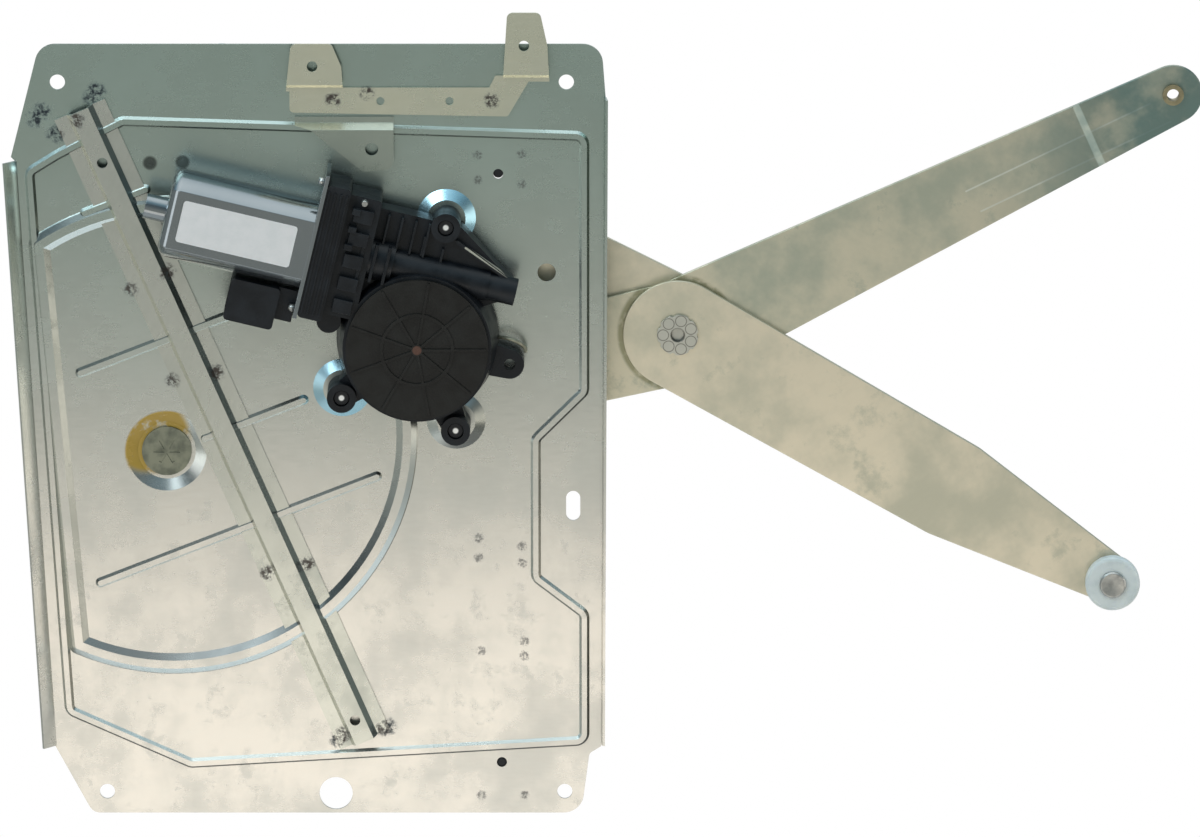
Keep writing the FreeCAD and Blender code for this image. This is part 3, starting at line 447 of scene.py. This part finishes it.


# The sheet's marks, placed by pixels of the picture: spot-weld burns along the rail and the bracket,
# punched guide marks, and rubbed smudges. Its grease and its painted shade, painted highlights and
# painted sky glints follow, placed in metres.
RAIL_BURNS = [(87, 116), (175, 269), (138, 288), (178, 380), (223, 371), (270, 575), (310, 565),
              (345, 740), (385, 735)]
END_BURNS = [(46, 116), (52, 110), (102, 94), (106, 90), (66, 132), (341, 745), (388, 733)]
STRAP_BURNS = [(338, 97), (372, 90), (494, 98)]
GUIDE_MARKS = [(158, 161), (480, 153), (523, 152), (480, 178), (523, 182)]
SMUDGES = [(480, 540), (480, 560), (523, 548), (523, 565), (482, 655), (525, 645), (525, 660),
           (482, 803), (525, 803)]
PUNCH_MARKS = [(158, 161), (190, 160)]
BURN = (0.07, 0.055, 0.045, 1)
SCORCH = (0.015, 0.022, 0.028, 1)
PUNCHED = (0.035, 0.04, 0.035, 1)
GREASE = (0.44, 0.28, 0.05, 1)
TOP_SHADE = (0.37, 0.46, 0.41, 1)
SKY_GLINT = (0.44, 0.74, 0.86, 1)
TOP_SHADE_FROM = 0.1
GREASE_R = 0.017
DISH_R = 0.0200
RELIEF_MIDDLE = Vector((-0.080, 0, 0.1815))
RELIEF_R = 0.1205
INNER_BOSS = Vector((0.00425, 0, 0.206))
INNER_BOSS_R = 0.0150
FOLD_LEAN = 0.0612
FOLD_FROM, FOLD_TO = -0.1375, -0.1355
LUG_OFFSETS = [(0.0142, 0.0592), (-0.0373, -0.0263), (0.0187, -0.0428)]
GLINT_LUGS = LUG_OFFSETS[:2]
BURN_R = 0.0055
SCORCH_R = 0.0075
MARK_R = 0.0038

sheet_zinc, tree, shader, place, colour = zinc_material(
    "sheet_zinc", (0.68, 0.65, 0.60), (0.50, 0.50, 0.465), 0.5, 0.7)
height_on_sheet = add(tree, "ShaderNodeSeparateXYZ")
tree.links.new(place, height_on_sheet.inputs[0])
sheet_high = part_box("carrier_sheet")[1].z
# painted shade: the sheet darkens and turns greener towards its top edge
top_shade = span(tree, height_on_sheet.outputs["Z"], TOP_SHADE_FROM, sheet_high)
colour = mix(tree, combine(tree, "MULTIPLY", top_shade, 0.9), colour, TOP_SHADE)
pivot_low, pivot_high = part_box("main_pivot_stud")
pivot = (pivot_low + pivot_high) / 2
greasy = pivot + Vector((-0.008, 0, 0.008))
grease = mark(tree, place, greasy, greasy, GREASE_R, GREASE_R + 0.0045)
grease = combine(tree, "MULTIPLY", grease, mark(tree, place, pivot, pivot, DISH_R, DISH_R + 0.0012))
grease = combine(tree, "MULTIPLY", grease, span(tree, noise(tree, place, 150.0, 4.0), 0.26, 0.46))
sunk = mark(tree, place, RELIEF_MIDDLE, RELIEF_MIDDLE, RELIEF_R, RELIEF_R + 0.0010)
boss = mark(tree, place, INNER_BOSS, INNER_BOSS, INNER_BOSS_R, INNER_BOSS_R + 0.0008)
sunk = combine(tree, "SUBTRACT", sunk, boss)
# painted highlight and painted shade on the sheet's pressed slopes, except on the left fold: slopes
# facing left lighter and slopes facing right darker, then near-white on slopes facing up and left and
# near-black on those facing down and right, reversed inside the sector relief
slope_lit = painted_slope_light(tree, colour, (-1.0, 0, 0), None, (0.60, 0.62, 0.57), (0.17, 0.17, 0.14))
slope_lit = painted_slope_light(tree, slope_lit, (-0.35, 0, 0.94), sunk, (0.92, 1.0, 1.0), (0.04, 0.04, 0.04))
inside_fold = combine(tree, "MULTIPLY", height_on_sheet.outputs["Z"], FOLD_LEAN)
inside_fold = combine(tree, "ADD", height_on_sheet.outputs["X"], inside_fold)
colour = mix(tree, span(tree, inside_fold, FOLD_FROM, FOLD_TO), colour, slope_lit)
colour = mix(tree, grease, colour, GREASE)
cover_low, cover_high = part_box("gearbox_cover")
gear_middle = (cover_low + cover_high) / 2
# painted reflection: a pale blue glint of the sky on the sloping walls of the dishes under the first
# two gearbox lugs
glint_dishes = 0.0
for x, z in GLINT_LUGS:
    boss = gear_middle + Vector((x, 0, z))
    glint_dishes = combine(tree, "MAXIMUM", glint_dishes, mark(tree, place, boss, boss, 0.020, 0.023))
sloping = span(tree, magnitude(tree, normal_parts(tree).outputs["Y"]), 0.90, 0.97, 0.75, 0.0)
colour = mix(tree, combine(tree, "MULTIPLY", glint_dishes, sloping), colour, SKY_GLINT)
burns = marks(tree, place, RAIL_BURNS + STRAP_BURNS, BURN_R, 420.0)
scorched = marks(tree, place, END_BURNS, SCORCH_R, 300.0)
smudges_and_highlight = marks(tree, place, GUIDE_MARKS + SMUDGES, MARK_R, 560.0)
front_only = span(tree, height_on_sheet.outputs["Y"], 0.0003, 0.0009, 1.0, 0.0)
smudges_and_highlight = combine(tree, "MULTIPLY", smudges_and_highlight, front_only)
soiled = combine(tree, "MAXIMUM", burns, combine(tree, "MULTIPLY", smudges_and_highlight, 0.7))
colour = mix(tree, soiled, colour, BURN)
colour = mix(tree, scorched, colour, SCORCH)
for px, py in PUNCH_MARKS:
    punched = mark(tree, place, spot(px, py), spot(px, py), 0.0026, 0.0042)
    punched = combine(tree, "MULTIPLY", punched, combine(tree, "MULTIPLY", front_only, 0.8))
    colour = mix(tree, punched, colour, PUNCHED)
soiled = combine(tree, "MAXIMUM", soiled, scorched)
tree.links.new(colour, shader.inputs["Base Color"])
matt = combine(tree, "MAXIMUM", grease, soiled)
bare = combine(tree, "SUBTRACT", 0.92, combine(tree, "MULTIPLY", matt, 0.8))
tree.links.new(bare, shader.inputs["Metallic"])
finished("carrier_sheet", sheet_zinc, 0.0006, 3)


# The diagonal rail and the folded brackets: strips of the same zinc, burnt where the welder has heated
# them, with their corners broken. The rail's hat slopes also carry painted highlight and painted shade.
RAIL_LEFT = (-0.92, 0, -0.40)


def burnt(name, clean, stain, staining, centres, turn=0.0):
    made, tree, shader, place, colour = zinc_material(name, clean, stain, staining, 0.5, turn)
    # painted highlight and painted shade on the rail's hat slopes: pale cream on the slopes facing left
    # and down, dark on those facing right and up
    if turn:
        bright, dark = (1.0, 0.95, 0.80), (0.08, 0.12, 0.13)
        colour = painted_slope_light(tree, colour, RAIL_LEFT, None, bright, dark)
    burns = marks(tree, place, centres, 0.0062, 380.0)
    tree.links.new(mix(tree, burns, colour, BURN), shader.inputs["Base Color"])
    tree.links.new(combine(tree, "SUBTRACT", 0.9, combine(tree, "MULTIPLY", burns, 0.7)),
                   shader.inputs["Metallic"])
    return made


RAIL_TURN = 1.15
rail_zinc = burnt("rail_zinc", (0.60, 0.60, 0.54), (0.43, 0.44, 0.39), 0.6,
                  RAIL_BURNS + END_BURNS, RAIL_TURN)
bracket_zinc = burnt("bracket_zinc", (0.74, 0.72, 0.57), (0.56, 0.56, 0.45), 0.5, STRAP_BURNS)
ear_zinc = zinc_material("ear_zinc", (0.42, 0.46, 0.40), (0.32, 0.36, 0.31), 0.5, 0.4)[0]
finished("hat_rail", rail_zinc, 0.0006, 3)
finished("top_bracket", bracket_zinc)
finished("hanging_ear", ear_zinc)

# The arms: thick zinc-plated strip, dull and stained by handling, greener at the upper tip, and paler
# on the cross arm. The main arm carries a painted shadow where the front half of the cross arm lies
# over it, and a cream band of painted highlight across it where its joggle wall catches the light.
JOGGLE_WALL = ((1068, 108), (1095, 168))
JOGGLE_HALF = 0.0016
JOGGLE_HIGHLIGHT = (0.80, 0.76, 0.60, 1)
SCRATCHES = [((960, 192), (1140, 104)), ((975, 212), (1160, 122))]
SCRATCH_HALF = 0.0002
SCRATCHED = (0.85, 0.85, 0.78, 1)
ARM_SHADOW_R = 0.0286
ARM_SHADOW = (0.24, 0.235, 0.13, 1)
ARM_GREEN = (0.16, 0.25, 0.23, 1)
arm_zinc, tree, shader, place, colour = zinc_material(
    "arm_zinc", (0.70, 0.64, 0.49), (0.43, 0.44, 0.345), 0.9, 0.3, -0.46, 0.36)
rivet_low, rivet_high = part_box("cross_pivot_rivet")
rivet_middle = (rivet_low + rivet_high) / 2
# painted shadow: a broken dark disc on the main arm round the cross pivot, where the front half of the
# cross arm shades it
arm_shadow_mask = mark(tree, place, rivet_middle, rivet_middle, ARM_SHADOW_R, ARM_SHADOW_R + 0.0020)
cloud = span(tree, noise(tree, place, 130.0, 4.0), 0.30, 0.50, 0.15, 0.75)
colour = mix(tree, combine(tree, "MULTIPLY", arm_shadow_mask, cloud), colour, ARM_SHADOW)
along_arm = add(tree, "ShaderNodeSeparateXYZ")
tree.links.new(place, along_arm.inputs[0])
arm_depth = along_arm.outputs["Y"]
for start_px, end_px in SCRATCHES:
    line = mark(tree, place, spot(*start_px), spot(*end_px), SCRATCH_HALF, SCRATCH_HALF + 0.0004)
    colour = mix(tree, combine(tree, "MULTIPLY", line, 0.6), colour, SCRATCHED)
# painted highlight: a cream band across the front face of the main arm, for the lit wall of its joggle;
# it is also made non-metallic
painted = mark(tree, place, spot(*JOGGLE_WALL[0]), spot(*JOGGLE_WALL[1]), JOGGLE_HALF, JOGGLE_HALF + 0.0003)
painted = combine(tree, "MULTIPLY", painted, span(tree, arm_depth, 0.0065, 0.0075, 1.0, 0.0))
colour = mix(tree, painted, colour, JOGGLE_HIGHLIGHT)
tip_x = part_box("main_arm_bush")[0].x
greener = span(tree, along_arm.outputs["X"], tip_x - 0.10, tip_x - 0.01)
patchy = span(tree, noise(tree, place, 45.0, 4.0), 0.32, 0.60, 0.35, 1.0)
greener = combine(tree, "MULTIPLY", greener, patchy)
colour = mix(tree, combine(tree, "MULTIPLY", greener, 0.9), colour, ARM_GREEN)
tree.links.new(colour, shader.inputs["Base Color"])
bare = combine(tree, "MULTIPLY", combine(tree, "SUBTRACT", 1.0, painted), 0.9)
tree.links.new(bare, shader.inputs["Metallic"])
front_zinc = zinc_material(
    "front_zinc", (0.80, 0.71, 0.55), (0.58, 0.545, 0.42), 0.85, 0.3, 0.52, 0.36)[0]
finished("main_arm", arm_zinc, 0.0004)
finished("cross_arm_front", front_zinc, 0.0004)
finished("cross_arm_rear", front_zinc, 0.0004)

# The staked rivet between the arms: seven petals round a blind hole, with painted shade in dark rings
# round each petal and round the hole.
PETALS = 7
PETAL_REACH = 0.0072
PETAL_R = 0.0027
HOLE_R = 0.0033
rivet_zinc, tree, shader, place, colour = zinc_material(
    "rivet_zinc", (0.60, 0.58, 0.51), (0.46, 0.45, 0.40), 0.6, 0.3, 0.0, 0.34)


def ring(tree, place, centre, radius, half):
    outer = mark(tree, place, centre, centre, radius, radius + half)
    inner = mark(tree, place, centre, centre, radius - half, radius)
    return combine(tree, "SUBTRACT", outer, inner)


# painted shade: dark rings round the blind hole and round each petal, in the creases of the staking
crease_shade = ring(tree, place, rivet_middle, HOLE_R, 0.0007)
for i in range(PETALS):
    angle = 2 * math.pi * (i + 0.5) / PETALS
    centre = rivet_middle + Vector((math.cos(angle), 0, math.sin(angle))) * PETAL_REACH
    crease_shade = combine(tree, "MAXIMUM", crease_shade, ring(tree, place, centre, PETAL_R, 0.0004))
colour = mix(tree, combine(tree, "MULTIPLY", crease_shade, 0.8), colour, (0.12, 0.11, 0.09, 1))
tree.links.new(colour, shader.inputs["Base Color"])
finished("cross_pivot_rivet", rivet_zinc, 0.00015)


# Pins, rivets and shafts: turned or headed steel, darker than the strip. The bush and the
# terminal blades are brass, the bearings oiled bronze and the motor's magnets sintered ferrite.
def turned_material(name, colour, roughness, metallic=1.0):
    made, tree, shader, place = new_material(name, metallic, roughness)
    wear = noise(tree, place, 150.0, 3.0)
    dark = tuple(0.6 * c for c in colour)
    tone = mix(tree, span(tree, wear, 0.35, 0.7), (*colour, 1), (*dark, 1))
    tree.links.new(tone, shader.inputs["Base Color"])
    tree.links.new(span(tree, wear, 0.3, 0.7, roughness, roughness + 0.2), shader.inputs["Roughness"])
    bump(tree, shader, noise(tree, place, 900.0), 0.00002)
    return made


pin_steel = turned_material("pin_steel", (0.52, 0.51, 0.48), 0.30)
stud_steel = turned_material("stud_steel", (0.26, 0.27, 0.21), 0.30)
gear_steel = turned_material("gear_steel", (0.36, 0.35, 0.33), 0.38)
bush_brass = turned_material("bush_brass", (0.46, 0.39, 0.24), 0.40)
oiled_bronze = turned_material("oiled_bronze", (0.42, 0.29, 0.15), 0.45)
ferrite = turned_material("ferrite", (0.06, 0.06, 0.065), 0.55, 0.2)
for node, material in (
    ("main_pivot_stud", stud_steel), ("main_pivot_washer", pin_steel), ("sector_gear", gear_steel),
    ("sector_rivets", pin_steel), ("pinion", gear_steel), ("output_shaft", gear_steel),
    ("main_arm_bush", bush_brass), ("front_roller_pin", pin_steel),
    ("rear_roller_pin", pin_steel), ("armature", gear_steel), ("armature_bearings", oiled_bronze),
    ("field_magnets", ferrite), ("terminal_blades", bush_brass),
):
    finished(node, material, 0.00015)


# The rollers and the worm wheel: moulded nylon, milky, with light seen a little way into it.
def nylon_material():
    made, tree, shader, place = new_material("milky_nylon", 0.0, 0.35)
    tone = mix(tree, span(tree, noise(tree, place, 120.0, 3.0), 0.35, 0.7),
               (0.70, 0.73, 0.71, 1), (0.60, 0.64, 0.63, 1))
    tree.links.new(tone, shader.inputs["Base Color"])
    shader.inputs["Subsurface Weight"].default_value = 0.35
    shader.inputs["Subsurface Radius"].default_value = (0.004, 0.004, 0.005)
    shader.inputs["Subsurface Scale"].default_value = 0.4
    bump(tree, shader, noise(tree, place, 900.0), 0.00003)
    return made


nylon = nylon_material()
for node in ("front_roller", "rear_roller", "worm_wheel"):
    finished(node, nylon, 0.0002)

# The motor can: bright zinc-plated deep-drawn steel, with its flange plate. Its clear lacquer
# gives it a sharper shine than the sheet has.
can_zinc = zinc_material(
    "can_zinc", (0.27, 0.29, 0.30), (0.20, 0.225, 0.24), 0.35, 0.15, -0.24, 0.12)[0]
can_zinc.node_tree.nodes["Principled BSDF"].inputs["Coat Weight"].default_value = 0.3
finished("motor_can", can_zinc, 0.0003)
finished("motor_flange", can_zinc, 0.0002)


# The gearbox, its cover and the connector: black glass-filled nylon, satin and faintly clouded.
# One rib edge of the housing has a pale painted highlight, and the cover has a dab of brown ink at its
# middle.
def moulding_material(name, dark, pale):
    made, tree, shader, place = new_material(name, 0.0, 0.42)
    cloud = span(tree, noise(tree, place, 90.0, 4.0), 0.35, 0.7)
    tone = mix(tree, cloud, (*dark, 1), (*pale, 1))
    tree.links.new(tone, shader.inputs["Base Color"])
    tree.links.new(span(tree, cloud, 0.0, 1.0, 0.36, 0.50), shader.inputs["Roughness"])
    shader.inputs["Specular IOR Level"].default_value = 0.32
    bump(tree, shader, noise(tree, place, 1300.0, 2.0), 0.00006)
    return made, tree, shader, place, tone


NYLON_DARK = (0.004, 0.005, 0.007)
NYLON_PALE = (0.010, 0.012, 0.015)
RIB_START = Vector((0.0655, 0, 0.2812))
RIB_END = Vector((0.0860, 0, 0.2667))
moulding = moulding_material("black_moulding", NYLON_DARK, NYLON_PALE)[0]
housing_moulding, tree, shader, place, tone = moulding_material(
    "housing_moulding", NYLON_DARK, NYLON_PALE)
# painted highlight: a pale line along the front of one rib's edge
rib_highlight = mark(tree, place, RIB_START, RIB_END, 0.0003, 0.0007)
outward = span(tree, normal_parts(tree).outputs["Y"], -0.9, -0.7, 0.8, 0.0)
rib_highlight = combine(tree, "MULTIPLY", rib_highlight, outward)
tree.links.new(mix(tree, rib_highlight, tone, (0.55, 0.52, 0.42, 1)), shader.inputs["Base Color"])
finished("gearbox_housing", housing_moulding, 0.0004)
finished("connector_shell", moulding, 0.0004)

cover_moulding, tree, shader, place, tone = moulding_material(
    "cover_moulding", (0.006, 0.005, 0.004), (0.012, 0.011, 0.009))
inked = mark(tree, place, gear_middle, gear_middle, 0.0018, 0.0026)
tree.links.new(mix(tree, inked, tone, (0.10, 0.045, 0.03, 1)), shader.inputs["Base Color"])
finished("gearbox_cover", cover_moulding, 0.0003)

# The three screws that hold the gearbox to the sheet: blackened steel, sunk in their sleeves, with a
# painted bright glint at the middle of each head.
black_steel, tree, shader, place = new_material("black_steel", 0.8, 0.45)
# painted highlight: a near-white glint at the middle of each screw head
screw_glint = None
for x, z in LUG_OFFSETS:
    centre = gear_middle + Vector((x, 0, z))
    one = mark(tree, place, centre, centre, 0.0010, 0.0017)
    screw_glint = one if screw_glint is None else combine(tree, "MAXIMUM", screw_glint, one)
tone = mix(tree, screw_glint, (0.03, 0.03, 0.032, 1), (0.95, 0.93, 0.90, 1))
tree.links.new(tone, shader.inputs["Base Color"])
finished("gearbox_screws", black_steel, 0.00015)

# The small ribs and steps that stiffen the gearbox around the worm, in rows of equal blocks.
# u runs along the motor from the middle of its can, v square to it, both in the sheet's plane.
MOTOR_TILT = math.radians(-13.5)
CAN_MIDDLE = Vector((-0.04625, 0, 0.2912))
ALONG = Vector((math.cos(MOTOR_TILT), 0, math.sin(MOTOR_TILT)))
ACROSS = Vector((-math.sin(MOTOR_TILT), 0, math.cos(MOTOR_TILT)))
MOTOR_TURN = Matrix.Rotation(-MOTOR_TILT, 4, "Y")


def on_motor(u, v, y):
    return CAN_MIDDLE + ALONG * u + ACROSS * v + Vector((0, y, 0))


def row_tree():
    tree = bpy.data.node_groups.new("row_of_blocks", "GeometryNodeTree")
    sockets = {}
    for label, kind in (("Count", "NodeSocketInt"), ("Step", VECTOR), ("Size", VECTOR),
                        ("Material", "NodeSocketMaterial")):
        socket = tree.interface.new_socket(label, in_out="INPUT", socket_type=kind)
        sockets[label] = socket.identifier
    tree.interface.new_socket("Geometry", in_out="OUTPUT", socket_type="NodeSocketGeometry")
    start = tree.nodes.new("NodeGroupInput")
    end = tree.nodes.new("NodeGroupOutput")
    line = tree.nodes.new("GeometryNodeMeshLine")
    block = tree.nodes.new("GeometryNodeMeshCube")
    copies = tree.nodes.new("GeometryNodeInstanceOnPoints")
    real = tree.nodes.new("GeometryNodeRealizeInstances")
    paint = tree.nodes.new("GeometryNodeSetMaterial")
    tree.links.new(start.outputs["Count"], line.inputs["Count"])
    tree.links.new(start.outputs["Step"], line.inputs["Offset"])
    tree.links.new(start.outputs["Size"], block.inputs["Size"])
    tree.links.new(line.outputs["Mesh"], copies.inputs["Points"])
    tree.links.new(block.outputs["Mesh"], copies.inputs["Instance"])
    tree.links.new(copies.outputs["Instances"], real.inputs["Geometry"])
    tree.links.new(real.outputs["Geometry"], paint.inputs["Geometry"])
    tree.links.new(start.outputs["Material"], paint.inputs["Material"])
    tree.links.new(paint.outputs["Geometry"], end.inputs["Geometry"])
    return tree, sockets


ROW, ROW_SOCKETS = row_tree()
BLOCK_EDGE = 0.0003


def block_row(name, count, first, step, size, material):
    # size is along u, in depth and along v; first is the middle of the first block
    host = bpy.data.objects.new(name + "_host", bpy.data.meshes.new(name + "_host"))
    bpy.context.scene.collection.objects.link(host)
    rows = host.modifiers.new("row", "NODES")
    rows.node_group = ROW
    rows[ROW_SOCKETS["Count"]] = count
    rows[ROW_SOCKETS["Step"]] = step
    rows[ROW_SOCKETS["Size"]] = size
    rows[ROW_SOCKETS["Material"]] = material
    graph = bpy.context.evaluated_depsgraph_get()
    mesh = bpy.data.meshes.new_from_object(host.evaluated_get(graph))
    bpy.data.objects.remove(host)
    mesh.transform(Matrix.Translation(on_motor(*first)) @ MOTOR_TURN)
    piece = bpy.data.objects.new(name, mesh)
    bpy.context.scene.collection.objects.link(piece)
    rounding = piece.modifiers.new("edge", "BEVEL")
    rounding.width = BLOCK_EDGE
    rounding.segments = 2
    rounding.harden_normals = True
    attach(piece, "carrier")


block_row("frame_ribs", 4, (0.0395, 0, -0.0364), (0.003, 0, 0), (0.0010, 0.0016, 0.062), moulding)
block_row("block_steps", 5, (0.0585, -0.024, -0.032), (0, 0, 0.0115), (0.0095, 0.005, 0.0068), moulding)
block_row("clip_steps", 3, (0.0545, 0.006, -0.034), (0, 0, 0.009), (0.004, 0.006, 0.003), moulding)
block_row("tunnel_rings", 3, (0.062, 0, -0.0290), (0.0065, 0, 0), (0.0016, 0.006, 0.019), moulding)
block_row("saddle_ribs", 4, (0.071, 0.0155, -0.0215), (0.0068, 0, 0), (0.0012, 0.006, 0.017), moulding)
block_row("lug_brace_long", 1, (0.0905, 0.0125, -0.0215), (0, 0, 0), (0.0012, 0.005, 0.010), moulding)
block_row("lug_brace_short", 1, (0.1005, 0.0096, -0.0215), (0, 0, 0), (0.0012, 0.005, 0.0078), moulding)


# Three bright screws in the can's flange and the gearbox, and the black plugs in the sheet's
# two small holes. Each is a plain head with a tapered rim.
RIM_TAPER = 0.7


def headed(name, centre, radius, depth, direction, material):
    mesh = bpy.data.meshes.new(name)
    bm = bmesh.new()
    bmesh.ops.create_cone(bm, cap_ends=True, segments=24, radius1=radius,
                          radius2=radius * RIM_TAPER, depth=depth)
    turn = direction.to_track_quat("Z", "Y").to_matrix().to_4x4()
    bm.transform(Matrix.Translation(centre) @ turn)
    for face in bm.faces:
        face.smooth = len(face.verts) == 4
    bm.to_mesh(mesh)
    bm.free()
    mesh.materials.append(material)
    piece = bpy.data.objects.new(name, mesh)
    bpy.context.scene.collection.objects.link(piece)
    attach(piece, "carrier")


FRONT = Vector((0, -1, 0))
for name, u, v in (("flange_screw_low", 0.0345, -0.031), ("flange_screw_high", 0.0345, 0.034)):
    headed(name, on_motor(u, v, -0.030), 0.0022, 0.003, -ALONG, pin_steel)
headed("block_screw", on_motor(0.0575, 0.0285, -0.0325), 0.0019, 0.003, FRONT, pin_steel)
CLIP_PX = (500, 171)
DRAIN_PX = (502.5, 769)
for name, (px, py) in (("clip_plug", CLIP_PX), ("drain_plug", DRAIN_PX)):
    headed(name, spot(px, py, 0.0006), 0.00265, 0.0016, FRONT, black_steel)

# A bent wire clip between the gearbox's rightmost lug and the sheet: steel wire 1.8 mm thick,
# dull and pale, with its ends cut square.
CLIP_ROUTE = [(0.0790, -0.0060, 0.2330), (0.0850, -0.0100, 0.2335), (0.0915, -0.0100, 0.2310),
              (0.0950, -0.0060, 0.2265), (0.0945, -0.0010, 0.2245)]
CLIP_R = 0.0009
clip_curve = bpy.data.curves.new("wire_clip", "CURVE")
clip_curve.dimensions = "3D"
clip_curve.bevel_depth = CLIP_R
clip_curve.bevel_resolution = 3
clip_curve.use_fill_caps = True
clip_line = clip_curve.splines.new("NURBS")
clip_line.points.add(len(CLIP_ROUTE) - 1)
for point, place_of in zip(clip_line.points, CLIP_ROUTE):
    point.co = (*place_of, 1)
clip_line.order_u = 3
clip_line.use_endpoint_u = True
clip_host = bpy.data.objects.new("wire_clip_host", clip_curve)
bpy.context.scene.collection.objects.link(clip_host)
graph = bpy.context.evaluated_depsgraph_get()
clip_mesh = bpy.data.meshes.new_from_object(clip_host.evaluated_get(graph))
bpy.data.objects.remove(clip_host)
clip_mesh.materials.clear()
clip_mesh.materials.append(turned_material("clip_wire", (0.42, 0.40, 0.30), 0.45))
wire_clip = bpy.data.objects.new("wire_clip", clip_mesh)
bpy.context.scene.collection.objects.link(wire_clip)
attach(wire_clip, "carrier")

# A bare white label on the flat of the can: a paper sticker a tenth of a millimetre thick, with
# rounded corners.
LABEL_L = 0.057
LABEL_W = 0.021
LABEL_ROUND = 0.0015
LABEL_T = 0.0001
label_mesh = bpy.data.meshes.new("motor_label")
bm = bmesh.new()
corners = []
for quarter, (along, across) in enumerate(((1, 1), (-1, 1), (-1, -1), (1, -1))):
    for step in range(4):
        angle = math.radians(90 * quarter + 30 * step)
        corners.append((along * (LABEL_L / 2 - LABEL_ROUND) + LABEL_ROUND * math.cos(angle),
                        across * (LABEL_W / 2 - LABEL_ROUND) + LABEL_ROUND * math.sin(angle)))
face = bm.faces.new([bm.verts.new((u, 0, v)) for u, v in corners])
grown = bmesh.ops.extrude_face_region(bm, geom=[face])
lifted = [v for v in grown["geom"] if isinstance(v, bmesh.types.BMVert)]
bmesh.ops.translate(bm, verts=lifted, vec=(0, -LABEL_T, 0))
bmesh.ops.recalc_face_normals(bm, faces=bm.faces)
can_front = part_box("motor_can")[0].y
bm.transform(Matrix.Translation((CAN_MIDDLE.x, can_front, CAN_MIDDLE.z)) @ MOTOR_TURN)
bm.to_mesh(label_mesh)
bm.free()
paper, tree, shader, place = new_material("label_paper", 0.0, 0.55)
cloud = span(tree, noise(tree, place, 160.0, 3.0), 0.35, 0.7)
tone = mix(tree, cloud, (0.74, 0.70, 0.68, 1), (0.69, 0.66, 0.64, 1))
tree.links.new(tone, shader.inputs["Base Color"])
label_mesh.materials.append(paper)
label = bpy.data.objects.new("motor_label", label_mesh)
bpy.context.scene.collection.objects.link(label)
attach(label, "carrier")
